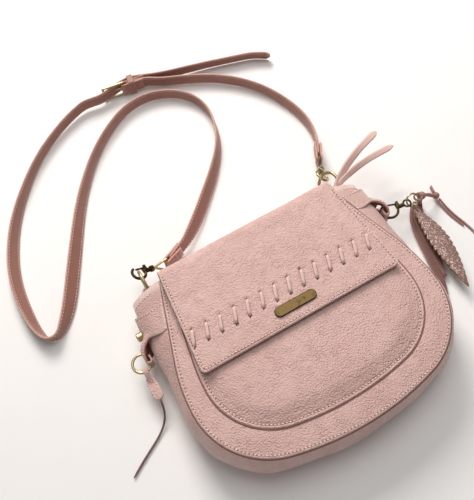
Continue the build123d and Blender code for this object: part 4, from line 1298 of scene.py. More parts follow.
@dataclass
class PatchPocket:
    """Pocket sewn on the front panel, open under the flap."""

    top: float = 40.0
    foot: float = 50.9
    face: float = 56.1
    leather: float = 1.6

    def height(self, plan: np.ndarray, depth: np.ndarray) -> np.ndarray:
        """Level of the pocket's face: a sewn hem, then a soft rise to the full front."""
        flat = np.dstack([plan, np.zeros(plan.shape[:2])])
        hem = 1.4 * smooth(depth, 0.0, 0.9) + 0.5 * smooth(depth, 3.4, 5.0)
        groove = 0.4 * np.exp(-(((depth - 3.0) / 0.7) ** 2))
        rise = (self.face - self.foot - 1.9) * smooth(depth, 3.2, 17.0)
        full = 0.55 * smooth(depth, 8.0, 30.0) * (0.4 + 0.6 * soft_noise(flat, 55.0, 7.0)) * (plan[..., 1] < 30)
        pucker = 0.14 * soft_noise(flat, 9.0, 8.0) * smooth(depth, 4.0, 8.0)
        return np.minimum(self.foot + hem - groove + rise + full * 0.6 + pucker, 56.9)

    def make(self) -> None:
        """Build the pocket, its stitches and a dark tube round its edge as painted shadow."""
        insets = (0.0, 0.25, 0.6, 1.0, 1.6, 2.2, 2.6, 3.0, 3.4, 4.0, 5.0, 6.5, 8.5, 11.0, 14.0, 17.0, 21.0, 26.0, 32.0, 40.0)
        shell = Shell()
        dish(shell, POCKET, self.top, insets, self.height, 60)
        # The pocket's cut edge takes the darker edge colour as painted shade.
        skin = shell.build("patch_pocket_leather", (BLUSH, EDGE_SHADE, KHAKI))
        upward = skin.data.polygons[len(skin.data.polygons) // 2].normal.z > 0
        thicken(skin, self.leather, inward=upward)
        place(skin, "root", "blush_leather", ["front_pocket"])
        sewn = Shell()
        rim = POCKET.rim(self.top - 1.5, -3.0)
        row = np.column_stack([rim, np.full(len(rim), self.foot + 1.25)])
        Stitching().row(sewn, row, np.tile((0.0, 0.0, 1.0), (len(row), 1)), 0, 2)
        # A dark tube round the pocket's edge is the painted shadow line there.
        edge = POCKET.rim(self.top - 1.0, 0.25)
        line = np.column_stack([edge, np.full(len(edge), self.foot + 0.1)])
        sides, ups = carried_frames(line, (0, 0, 1))
        sewn.tube(line, circle(0.55, 8), sides, ups, 1, 1)
        place(sewn.build("patch_pocket_seam", (THREAD, SEAM_SHADE, NEEDLE)), "root", "blush_leather")


# ---- Flap -----------------------------------------------------------------------
@dataclass
class Flap:
    """Flap sewn to the back, folded over the mouth, with a row of thong stitches."""

    top_half: float = 83.5
    bottom_half: float = 92.0
    top: float = 89.0
    bottom: float = -7.0
    corner: float = 5.0
    face: float = 61.0
    thickness: float = 3.1
    back: float = 92.4
    roll: float = 9.0
    row: float = 23.0
    rise: float = 13.5
    lean: float = 5.0
    span: float = 82.0
    holes: int = 14

    def half_width(self, y: np.ndarray) -> np.ndarray:
        """Half of the flap's width at a level."""
        share = np.clip((self.top - y) / (self.top - self.bottom), 0, 1)
        return self.top_half + share * (self.bottom_half - self.top_half)

    def corner_cut(self, y: np.ndarray) -> np.ndarray:
        """How far the rounded lower corners cut into the width at a level."""
        low = np.clip(self.corner - (y - self.bottom), 0, self.corner)
        return self.corner - np.sqrt(np.maximum(self.corner**2 - low**2, 0))

    def stitches(self) -> list[tuple[np.ndarray, np.ndarray]]:
        """Upper and lower hole of each thong stitch."""
        step = 2 * self.span / (self.holes - 1)
        middles = [-self.span + step * index - self.lean / 2 for index in range(self.holes)]
        half = np.array([self.lean / 2, self.rise / 2])
        return [(np.array([x, self.row]) + half, np.array([x, self.row]) - half) for x in middles]

    def path(self) -> np.ndarray:
        """Side view of the flap's outer face, from over the back seam to the lower edge: y and z."""
        angles = np.linspace(0, math.pi / 2, 13)
        bend = np.stack(
            [self.back - self.roll + self.roll * np.cos(angles), self.face - self.roll + self.roll * np.sin(angles)],
            axis=1,
        )
        rise = np.stack([np.full(14, self.back), np.linspace(12.0, self.face - self.roll - 1.5, 14)], axis=1)
        upper = np.linspace(self.back - self.roll - 2.5, 36.0, 20)
        band = np.linspace(34.5, 11.5, 26)
        lower = np.linspace(9.5, 1.5, 6)
        hem = np.array([0.0, -1.4, -2.4, -3.4, -4.2, -4.9, -5.6, -6.1, -6.5, -6.8, -6.95, -7.0])
        level = np.concatenate([upper, band, lower, hem])
        front = np.stack([level, np.full(len(level), self.face)], axis=1)
        return np.vstack([rise, bend, front])

    def relief(self, x: np.ndarray, y: np.ndarray, edge: np.ndarray) -> np.ndarray:
        """Height of the leather over its plain face: puckers at the lacing, the sewn groove and the rolled edge.

        Args:
            x: Place along the width.
            y: Place along the height.
            edge: Distance from the nearest edge.

        Returns:
            The height.
        """
        flat = np.dstack([x, y, np.zeros_like(x)])
        shape = 0.28 * soft_noise(flat, 70.0, 1.0) + 0.1 * soft_noise(flat, 16.0, 2.0)
        shape = shape - 0.4 * np.exp(-(((edge - 2.6) / 0.7) ** 2)) - 0.8 * (1 - smooth(edge, 0.0, 1.2)) ** 2
        for upper, lower in self.stitches():
            for hole in (upper, lower):
                away = np.hypot(x - hole[0], y - hole[1])
                shape = shape - 1.0 * np.exp(-((away / 1.7) ** 2)) + 0.25 * np.exp(-(((away - 3.6) / 1.6) ** 2))
            along_bar = np.clip((y - lower[1]) / (upper[1] - lower[1]), 0, 1)
            beside = np.abs(x - (lower[0] + along_bar * (upper[0] - lower[0])))
            inside = smooth(y, lower[1] - 1, lower[1] + 2) * (1 - smooth(y, upper[1] - 2, upper[1] + 1))
            shape = shape - 0.5 * np.exp(-(((beside - 2.3) / 0.9) ** 2)) * inside
        return shape

    def skin(self) -> None:
        """Build the folded sheet: leather outside, cloth-faced lining inside, edges coloured darker as painted shade.
        """
        path = self.path()
        near = np.array([0.0, 0.3, 0.8, 1.4, 2.0, 2.6, 3.2, 3.9, 5.0])
        middle = np.linspace(-1, 1, 131)
        y, z = path[:, 0], path[:, 1]
        on_front = z > self.face - 0.01
        half = self.half_width(np.where(on_front, y, self.top)) - np.where(on_front, self.corner_cut(y), 0.0)
        span = half - near[-1]
        left = -half[:, None] + near[None, :-1]
        x = np.hstack([left, span[:, None] * middle[None, :], -left[:, ::-1]])
        sides = np.broadcast_to(np.concatenate([near[:-1], np.full(131, 99.0), near[:-1][::-1]]), x.shape)
        reach = np.minimum((span[:, None] + near[-1]) - np.abs(x), 99.0)
        edge = np.minimum(np.minimum(sides, reach), np.where(on_front, y - self.bottom, 99.0)[:, None])
        rows_y, rows_z = np.broadcast_to(y[:, None], x.shape), np.broadcast_to(z[:, None], x.shape)
        way = unit(np.gradient(path, axis=0))
        normal_y, normal_z = -way[:, 1], way[:, 0]
        flip = -1.0 if normal_z[-1] < 0 else 1.0
        normal = np.stack([np.zeros(len(path)), flip * normal_y, flip * normal_z], axis=1)
        lift = self.relief(x, np.where(on_front[:, None], rows_y, 200.0), edge)
        outer = np.dstack([x, rows_y, rows_z]) + lift[..., None] * normal[:, None, :]
        inner = np.dstack([x * 0.9985, rows_y, rows_z]) - self.thickness * normal[:, None, :]
        shell = Shell()
        shell.lattice(outer, paint=0)
        shell.lattice(inner, paint=2, flip=True)
        for ring_outer, ring_inner in (
            (outer[:, 0], inner[:, 0]),
            (outer[:, -1], inner[:, -1]),
            (outer[-1], inner[-1]),
            (outer[0], inner[0]),
        ):
            shares = np.linspace(0, 1, 4)[:, None, None]
            shell.lattice(ring_outer[None] + shares * (ring_inner - ring_outer)[None], paint=1)
        piece = shell.build("flap_leather", (BLUSH, EDGE_SHADE, KHAKI))
        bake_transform(piece)
        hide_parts("flap_front_leather", "flap_front_lining", "flap_top_leather", "flap_top_lining")
        LOG.info("flap_leather has %d faces", len(piece.data.polygons))

    def back_strip(self) -> None:
        """Build the strip that joins the flap to the back, which bends at the back seam."""
        side = np.array([(88.6, 2.6), (89.6, 2.75), (90.6, 3.2), (91.5, 4.2), (92.1, 5.8), (92.4, 8.0), (92.4, 12.0)])
        way = unit(np.gradient(side, axis=0))
        normal = np.stack([way[:, 1], -way[:, 0]], axis=1)
        inner = side - normal * np.array([0.6, 0.9, 1.5, 2.2, 2.8, 3.1, 3.1])[:, None]
        x = np.linspace(-self.top_half, self.top_half, 60)
        shell = Shell()

        def rows(line: np.ndarray) -> np.ndarray:
            """Rows across the width from a side view line."""
            return np.dstack(
                [np.tile(x, (len(line), 1)), np.tile(line[:, 0:1], (1, len(x))), np.tile(line[:, 1:2], (1, len(x)))]
            )

        outer, lining = rows(side), rows(inner)
        shell.lattice(outer)
        shell.lattice(lining, paint=2, flip=True)
        for first, second in ((outer[:, 0], lining[:, 0]), (outer[:, -1], lining[:, -1]), (outer[0], lining[0])):
            shell.lattice(np.stack([first, second]), paint=1)
        piece = shell.build("flap_back_strip", (BLUSH, RAW_EDGE, KHAKI))
        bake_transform(piece)

    def sewing(self) -> None:
        """Sew round the flap's sides and lower edge."""
        inset = 2.6
        low = self.bottom + inset
        radius = self.corner - inset + 1.5
        right_top = np.array([[self.half_width(np.array(82.0)) - inset, 82.0]])
        bottom_half = float(self.half_width(np.array(low))) - inset
        angles = np.linspace(0, -math.pi / 2, 7)
        turn = np.stack([bottom_half - radius + radius * np.cos(angles), low + radius + radius * np.sin(angles)], axis=1)
        right = np.vstack([right_top, turn])
        plan = np.vstack([right, right[::-1] * np.array([-1.0, 1.0])])
        row = np.column_stack([plan, np.full(len(plan), self.face - 0.12)])
        shell = Shell()
        Stitching().row(shell, row, np.tile((0.0, 0.0, 1.0), (len(row), 1)), 0, 1)
        place(shell.build("flap_stitches", (THREAD, NEEDLE)), "flap_front", "blush_leather")

    def lacing(self) -> None:
        """Lace a flat thong through the punched holes."""
        shell = Shell()
        for number, (upper, lower) in enumerate(self.stitches()):
            swing = 0.35 * math.sin(2.7 * number)
            rise = 1.5 + 0.12 * math.sin(1.9 * number)
            shares = np.linspace(0, 1, 15)
            plan = lower[None, :] + shares[:, None] * (upper - lower)[None, :]
            plan = plan + np.outer(np.sin(math.pi * shares), (swing, 0.0))
            arch = -1.3 + (rise + 1.2) * np.minimum(1.0, np.sin(math.pi * np.clip(shares, 0, 1)) * 2.2) ** 0.7
            path = np.column_stack([plan, self.face + arch])
            way = tangents(path)
            side = unit(np.cross(way, np.tile((0.0, 0.0, 1.0), (len(path), 1))))
            up = np.cross(side, way)
            swell = 0.82 + 0.2 * np.sin(math.pi * shares)
            section = oval(2.9, 1.5, 12, 0.62)
            # Painted shade on the lower sides of each bar, and painted highlight from the paler thong colour on the
            # rest.
            shades = [2 if middle < 0.3 else 0 for middle in (section[:, 1] + np.roll(section[:, 1], -1)) / 2]
            shell.tube(path, section, side, up, shades, 0, swell)
            # Each hole is a dark cup painted as the shade inside it.
            for hole, size in ((upper + (-0.5, 1.3), 1.0), (lower + (0.5, -1.1), 1.3)):
                ring = circle(size, 14)
                rows = [
                    np.column_stack([hole[0] + ring[:, 0] * wide, hole[1] + ring[:, 1] * wide, np.full(14, self.face + deep)])
                    for wide, deep in ((1.1, -0.12), (1.0, -0.1), (0.8, -0.35), (0.4, -0.6))
                ]
                shell.lattice(np.array(rows), round_v=True, paint=1)
                shell.cap(rows[-1], 1)
        place(shell.build("flap_thong_lacing", (THONG, HOLE_SHADE, THONG_SIDE)), "flap_front", "blush_leather", ["flap_lacing"])

    def make(self) -> None:
        """Build every piece of the flap."""
        self.skin()
        self.back_strip()
        self.sewing()
        self.lacing()


# ---- Zip ------------------------------------------------------------------------
@dataclass
class Zip:
    """Zip across the mouth: leather facings, woven tapes and the thong on its slider."""

    length: float = 160.0
    middle: float = 25.0

    def sides(self) -> None:
        """Build the facing and the tape of both sides."""
        x = np.linspace(-self.length / 2, self.length / 2, 60)
        for name, sign in (("back", -1), ("front", 1)):
            wall = self.middle + sign * 22.6
            for kind, near, far, low, thick, finish, slot in (
                ("facing", wall, wall - sign * 9.8, 82.1, 2.0, BLUSH, "blush_leather"),
                ("tape", self.middle + sign * 4.9, self.middle + sign * 18.6, 81.05, 0.8, TAPE, "zip_tape"),
            ):
                depth = np.linspace(min(near, far), max(near, far), 9)
                grid_x, grid_z = np.meshgrid(x, depth)
                wave = 0.14 * np.sin(grid_x / 9.0 + sign) * smooth(9 - np.abs(grid_z - self.middle) / 3, 0, 9)
                shell = Shell()
                top = np.dstack([grid_x, low + thick + wave * 0.5, grid_z])
                bottom = np.dstack([grid_x, low + wave * 0.5, grid_z])
                shell.lattice(top)
                shell.lattice(bottom, flip=True)
                for first, second in (
                    (top[0], bottom[0]), (top[-1], bottom[-1]), (top[:, 0], bottom[:, 0]), (top[:, -1], bottom[:, -1])
                ):
                    shell.lattice(np.stack([first, second]), paint=1)
                edge = RAW_EDGE if kind == "facing" else TAPE
                place(shell.build(f"zip_{kind}_{name}_sewn", (finish, edge)), "root", slot, [f"zip_{kind}_{name}"])
        sewn = Shell()
        for sign in (-1, 1):
            row = np.column_stack([x, np.full(60, 84.15), np.full(60, self.middle + sign * 14.5)])
            Stitching(3.2, 2.3, 0.36).row(sewn, row, np.tile((0.0, 1.0, 0.0), (60, 1)))
        place(sewn.build("zip_facing_stitches", (THREAD,)), "root", "blush_leather")

    def thong(self) -> None:
        """Build the thong: a loop on the bail and two flat tails with round ends."""
        shell = Shell()
        grip = spline("thong_grip", [(75.0, 86.6, 25.0), (79.0, 86.4, 27.0), (86.0, 87.2, 31.0), (91.0, 90.2, 34.5), (95.5, 92.4, 37.0)])
        sides, ups = carried_frames(grip, (0, 0, 1))
        shell.tube(grip, oval(2.4, 2.4, 10), sides, ups)
        for points, wide in (
            ([(93.0, 91.0, 36.0), (97, 93.5, 37.6), (106, 99.5, 39.6), (122, 107.5, 41.2), (140, 114.8, 41.6), (158, 120.5, 40.2)], 6.6),
            ([(93.0, 90.0, 35.6), (98, 92.0, 36.6), (108, 95.2, 38.2), (124, 98.6, 39.4), (143, 100.6, 39.2), (163.5, 101.0, 37.2)], 6.0),
        ):
            line = spline("thong_tail", points, 12)
            share = np.linspace(0, 1, len(line))
            swell = np.where(share < 0.5, 0.5 + share, 1.0) * np.sqrt(np.clip(1 - np.clip((share - 0.95) / 0.05, 0, 1) ** 2, 0.06, 1))
            way = tangents(line)
            side = unit(np.cross(np.tile((0.05, -0.15, 1.0), (len(line), 1)), way))
            twist = np.radians(38.0 * np.sin(share * 3.0) - 22.0 * share)[:, None]
            up = np.cross(way, side)
            side_t = np.cos(twist) * side + np.sin(twist) * up
            up_t = np.cross(way, side_t)
            grid = line[:, None, :] + np.array([-0.5, -0.25, 0.0, 0.25, 0.5])[None, :, None] * wide * swell[:, None, None] * side_t[:, None, :]
            shell.lattice(grid + 0.65 * up_t[:, None, :])
            shell.lattice(grid - 0.65 * up_t[:, None, :], paint=2, flip=True)
            for column in (0, -1):
                shell.lattice(np.stack([grid[:, column] + 0.65 * up_t, grid[:, column] - 0.65 * up_t]), paint=1)
            shell.lattice(np.stack([grid[-1] + 0.65 * up_t[-1], grid[-1] - 0.65 * up_t[-1]]), paint=1)
            shell.lattice(np.stack([grid[0] + 0.65 * up_t[0], grid[0] - 0.65 * up_t[0]]), paint=1)
        # The upper faces of the tails take the paler thong colour as painted highlight.
        piece = shell.build("zip_pull_thong_tails", (THONG, RAW_EDGE, BLUSH))
        place(piece, "zip_slider", "blush_leather", ["zip_pull_thong"])

    def make(self) -> None:
        """Build every soft piece of the zip."""
        self.sides()
        self.thong()


# ---- Tabs, wraps and side fittings ------------------------------------------------
class Side(Enum):
    """End of the bag that a fitting sits on."""

    LEFT = -1
    RIGHT = 1

    @property
    def word(self) -> str:
        """The side's name in a piece's name."""
        return self.name.lower()


@dataclass
class RingTab:
    """Upright leather tab with an eyelet hole for the corner ring."""

    side: Side
    offset: float = 95.5
    foot: float = 83.4
    hole_level: float = 91.8
    width: float = 13.0
    hole: float = 7.4
    thickness: float = 2.4
    level: float = 25.0

    def make(self) -> None:
        """Build the tab, its raw edges and the pale ring round its hole."""
        x = self.side.value * self.offset
        count = 48
        angles = np.linspace(-math.pi / 2, 1.5 * math.pi, count, endpoint=False)
        inner = np.stack([np.cos(angles), np.sin(angles)], axis=1) * self.hole / 2
        reach = []
        for angle in angles:
            way = np.array([math.cos(angle), math.sin(angle)])
            if way[1] >= 0:
                reach.append(self.width / 2)
            else:
                drop = (self.hole_level - self.foot) / max(-way[1], 1e-6)
                reach.append(min(self.width / 2 / max(abs(way[0]), 1e-6), drop))
        outer = np.stack([np.cos(angles), np.sin(angles)], axis=1) * np.array(reach)[:, None]
        centre = np.array([x, self.hole_level])
        half = self.thickness / 2
        shares = [0.0, 0.06, 0.16, 0.3, 0.5, 0.7, 0.84, 0.94, 1.0]
        lift = [half - 0.5, half - 0.12, half, half - 0.05, half, half, half, half - 0.15, half - 0.5]
        rows = []
        for share, up in zip(shares, lift):
            plan = inner + share * (outer - inner) + centre
            bend = 0.5 * smooth(plan[:, 1], self.hole_level, self.hole_level + 6)
            rows.append(np.column_stack([plan, self.level + up + bend]))
        under = [row * np.array([1, 1, 0.0]) + np.array([0, 0, 1.0]) * (2 * self.level - row[:, 2:3] + 1.0 * smooth(row[:, 1:2], self.hole_level, self.hole_level + 6)) for row in rows]
        shell = Shell()
        shell.lattice(np.array(rows), round_v=True)
        shell.lattice(np.array(under), round_v=True, flip=True)
        shell.lattice(np.array([rows[-1], under[-1]]), round_v=True, paint=1)
        shell.lattice(np.array([under[0], rows[0]]), round_v=True, paint=1)
        collar = np.column_stack([inner * 1.12 + centre, np.full(count, self.level + half + 0.02)])
        sides, ups = carried_frames(np.vstack([collar, collar[:1]]), (0, 0, 1))
        shell.tube(np.vstack([collar, collar[:1]]), circle(0.36, 8), sides, ups, 1, 1)
        piece = shell.build(f"ring_tab_{self.side.word}_leather", (BLUSH, RAW_EDGE))
        place(piece, "root", "blush_leather", [f"ring_tab_{self.side.word}"])


@dataclass
class SideWrap:
    """Leather band over the gusset whose lower edge lifts off into a narrow loop."""

    side: Side
    low: float
    high: float
    loop: float
    thickness: float = 2.2
    wall: float = 125.6
    loop_level: float = 20.0
    loop_width: float = 6.0
    slant: float = 10.0

    def face(self, y: float, levels: np.ndarray, body: BagBody) -> np.ndarray:
        """Points on the gusset's outer face at a level of the bag, through its depth.

        Args:
            y: Level of the bag.
            levels: Heights above the table.
            body: The bag body.

        Returns:
            One point for each height.
        """
        grid = body.gusset_rows(max(y + 0.01, 84.0), levels, 0.25)
        half = grid.shape[1] // 2
        found = []
        for row, level in zip(grid, levels):
            part = row[: half + 1] if self.side is Side.RIGHT else row[half:][::-1]
            found.append((np.interp(-y, -part[:, 1], part[:, 0]), y, level))
        return np.array(found)

    def make(self, body: BagBody) -> None:
        """Build the wrap, whose lower edge sweeps down into a tongue with a slot for the ring.

        Args:
            body: The bag body, whose gusset the wrap follows.
        """
        sign = float(self.side.value)
        columns = 45
        levels = np.linspace(3.2, 48.8, columns)
        beside = np.abs(levels - self.loop_level)
        end = self.loop - self.loop_width / 2
        head = self.high - self.slant * smooth(levels, 18.0, 47.0)
        hem = self.low + 1.5 - 0.6 * self.slant * smooth(levels, 31.0, 47.0)
        foot = end + (hem - end) * smooth(beside, 7.5, 16.5)
        drop = np.concatenate([[0.0, 0.01, 0.03], np.linspace(0.06, 0.94, 34), [0.97, 1.0]])
        rows = []
        for share in drop:
            y = head - share * (head - foot)
            hug = np.array([self.face(float(at), levels[index : index + 1], body)[0] for index, at in enumerate(y)])
            stand = (1 - smooth(y, self.loop + 4.5, self.low + 8.0)) * (1 - smooth(beside, 9.0, 19.0))
            reach = sign * (self.wall - 1.6) - hug[:, 0]
            hug[:, 0] += reach * stand + sign * 0.15
            rows.append(hug)
        grid = np.array(rows)
        normal = unit(np.cross(np.gradient(grid, axis=1), np.gradient(grid, axis=0)))
        if normal[5, 22, 0] * sign < 0:
            normal = -normal
        thick = np.full(grid.shape[:2], self.thickness)
        thick[0] = thick[-1] = thick[:, 0] = thick[:, -1] = self.thickness * 0.72
        # The front end is skived thin where it runs into the seam.
        thick *= 1 - 0.85 * smooth(levels, 40.0, 48.0)[None, :]
        outer = grid + normal * thick[..., None]
        middle = int(np.argmin(beside))
        inside = np.abs(grid[:, middle, 1] - (self.loop + 6.6)) < 3.4
        slot_rows = np.flatnonzero(inside)
        first_row, last_row = int(slot_rows[0]), int(slot_rows[-1])
        first, last = middle - 4, middle + 4
        keep = np.ones((len(drop) - 1, columns - 1), bool)
        keep[first_row:last_row, first:last] = False
        shell = Shell()
        shell.lattice(outer, keep=keep)
        # The inner face takes the darker strap colour as painted shade under the wrap and in its loop.
        shell.lattice(grid, flip=True, paint=2, keep=keep)
        borders = [(outer[0], grid[0]), (outer[-1], grid[-1]), (outer[:, 0], grid[:, 0]), (outer[:, -1], grid[:, -1])]
        borders += [(outer[row, first : last + 1], grid[row, first : last + 1]) for row in (first_row, last_row)]
        borders += [(outer[first_row : last_row + 1, at], grid[first_row : last_row + 1, at]) for at in (first, last)]
        for one, two in borders:
            shell.lattice(np.stack([one, two]), paint=1)
        self.curl(shell, outer, grid, levels, sign)
        stitches = Stitching(3.0, 2.0, 0.42)
        stitches.row(shell, outer[3, 1:-1] + normal[3, 1:-1] * 0.02, normal[3, 1:-1], 3, 4)
        piece = shell.build(f"side_wrap_{self.side.word}_leather", (BLUSH, RAW_EDGE, SHADED_STRAP_LEATHER, THREAD, NEEDLE))
        place(piece, "root", "blush_leather", [f"side_wrap_{self.side.word}"])

    def curl(self, shell: Shell, outer: np.ndarray, grid: np.ndarray, levels: np.ndarray, sign: float) -> None:
        """Turn the tongue's end in under the ring's wire and back up against the bag.

        Args:
            shell: The shell that takes it.
            outer: The wrap's outer face.
            grid: The wrap's inner face.
            levels: Height of each column above the table.
            sign: Which way the side looks.
        """
        kept = np.flatnonzero(np.abs(levels - self.loop_level) < 7.6)
        line = []
        for angle in np.linspace(0, math.pi, 9):
            line.append((-1.9 * (1 - math.cos(angle)) / 2 * 2, -1.7 * math.sin(angle)))
        line += [(-3.8, 2.0), (-3.8, 5.0)]
        base = (outer[-1, kept] + grid[-1, kept]) / 2
        wall = 0.8
        rows_out, rows_in = [], []
        for index, (inward, down) in enumerate(line):
            step = line[min(index + 1, len(line) - 1)], line[max(index - 1, 0)]
            way = np.array([step[0][0] - step[1][0], step[0][1] - step[1][1]])
            way = way / np.linalg.norm(way)
            normal = np.array([-way[1], way[0]])
            middle = base + np.array([sign * inward, down, 0.0])
            rows_out.append(middle + np.array([sign * normal[0] * wall, normal[1] * wall, 0.0]))
            rows_in.append(middle - np.array([sign * normal[0] * wall, normal[1] * wall, 0.0]))
        first, second = np.array(rows_out), np.array(rows_in)
        shell.lattice(first)
        shell.lattice(second, flip=True)
        for one, two in ((first[0], second[0]), (first[-1], second[-1]), (first[:, 0], second[:, 0]), (first[:, -1], second[:, -1])):
            shell.lattice(np.stack([one, two]), paint=1)


@dataclass
class GussetCap:
    """Folded-in end of the gusset beside the zip, dimpled between its folds."""

    side: Side
    start: float = 81.5
    top: float = 84.1
    thickness: float = 2.0

    def make(self) -> None:
        """Build the cap."""
        sign = self.side.value
        levels = np.linspace(3.2, 46.8, 24)
        flat, full = PANEL.rim(self.top, -2.3), BULGE.rim(self.top, -2.3)
        rows = []
        for level in levels:
            share = (level - 1.0) / 48.0
            end = flat[0, 0] + (full[0, 0] - flat[0, 0]) * math.sin(math.pi * share) ** 0.85
            x = np.linspace(self.start, end, 18)
            dimple = -1.6 * math.sin(math.pi * share) ** 2 * smooth(x, self.start + 2, end - 4) * (1 - smooth(x, end - 6, end))
            rows.append(np.column_stack([sign * x, self.top + dimple, np.full(18, level)]))
        top = np.array(rows)
        under = top - np.array([0, self.thickness, 0])
        shell = Shell()
        shell.lattice(top, paint=[2] * 5 + [0] * 12)
        shell.lattice(under, flip=True, paint=2)
        for first, second in ((top[0], under[0]), (top[-1], under[-1]), (top[:, 0], under[:, 0]), (top[:, -1], under[:, -1])):
            shell.lattice(np.stack([first, second]), paint=1)
        piece = shell.build(f"gusset_cap_{self.side.word}_leather", (BLUSH, RAW_EDGE, KHAKI))
        place(piece, "root", "blush_leather", [f"gusset_cap_{self.side.word}"])


# ---- Charms -----------------------------------------------------------------------
@dataclass
class Lace:
    """Round lace that lies on the table."""

    name: str
    route: Sequence[tuple[float, float, float]]
    length: float
    body: str
    node: str
    finish: Finish
    slot: str = "mauve_leather"
    radius: float = 1.0

    def make(self) -> bpy.types.Object:
        """Returns:
            The lace.
        """
        line = spline(f"{self.name}_route", self.route, 8)
        sides, ups = carried_frames(line, (0, 0, 1))
        swell = 1.0 + 0.08 * soft_noise(line, 5.0, 3.0)
        swell[-3:] *= np.array([0.95, 0.8, 0.55])
        shell = Shell()
        shell.tube(line, oval(2 * self.radius, 1.8 * self.radius, 10, 0.85), sides, ups, 0, 0, swell)
        lace = place(shell.build(self.name, (self.finish,)), self.body, self.slot, [self.node])
        return lace


@dataclass
class SidePull:
    """Short leather pull looped round the left ring, with a lace below it."""

    x: float = -129.9
    y: float = 32.0
    level: float = 20.0

    def make(self) -> None:
        """Build the pull and its lace."""
        shell = Shell()
        y, z = self.y, self.level
        loop = spline(
            "pull_loop",
            [(self.x, y - 5.5, z - 4.6), (self.x, y + 0.6, z - 5.6), (self.x, y + 3.9, z - 2.6), (self.x, y + 3.6, z + 2.6),
             (self.x, y - 0.8, z + 3.9), (self.x, y - 6.0, z - 0.4), (self.x, y - 11.0, z - 3.4)],
        )
        way = tangents(loop)
        side = np.tile((1.0, 0.0, 0.0), (len(loop), 1))
        up = np.cross(way, side)
        share = np.linspace(0, 1, len(loop))
        section = oval(4.6, 1.5, 12, 0.5)
        shell.tube(loop, section, side, up, 0, 1, 0.9 + 0.1 * share)
        outline_y = np.linspace(y - 4.4, y - 25.4, 22)
        half = 3.2 + 1.0 * smooth(-outline_y, -(y - 4), -(y - 12)) - 4.0 * (1 - np.sqrt(np.clip(1 - smooth(-outline_y, -(y - 21), -(y - 25.6)) ** 2, 0, 1)))
        columns = np.linspace(-1, 1, 9)
        grid_x = self.x + half[:, None] * columns[None, :]
        bend = 0.9 * np.sin((y - outline_y) / 21 * math.pi)[:, None]
        crown = 0.35 * (1 - columns[None, :] ** 2)
        base = z - 4.9 + bend
        top = np.dstack([grid_x, np.tile(outline_y[:, None], (1, 9)), base + 1.3 + crown])
        under = np.dstack([grid_x, np.tile(outline_y[:, None], (1, 9)), np.tile(base - 1.3, (1, 9))])
        shell.lattice(top)
        shell.lattice(under, flip=True)
        for first, second in ((top[0], under[0]), (top[-1], under[-1]), (top[:, 0], under[:, 0]), (top[:, -1], under[:, -1])):
            shell.lattice(np.stack([first, second]), paint=1)
        for edge in (-1, 1):
            row = np.column_stack([self.x + edge * (half[2:-3] - 1.0), outline_y[2:-3], (base[2:-3, 0]) + 1.42])
            Stitching(2.6, 1.8, 0.3).row(shell, row, np.tile((0, 0, 1.0), (len(row), 1)), 2)
        place(shell.build("side_pull_leather", (BLUSH, RAW_EDGE, THREAD)), "side_charm", "mauve_leather", ["side_pull"])
        x, y, z = self.x, self.y - 25.6, self.level - 4.7
        route = [(x, y, z), (x - 1.0, y - 6, z - 3.5), (x - 3.5, y - 12, 6.2), (x - 8.5, y - 17.5, 2.4)]
        route += [(x - 16.5, y - 23.5, 1.3), (x - 26.5, y - 29, 1.2), (x - 38, y - 35.5, 1.1), (x - 48, y - 42, 1.2)]
        Lace("side_lace_brown", route, 70.3, "side_charm", "side_lace", BROWN_LACE).make()


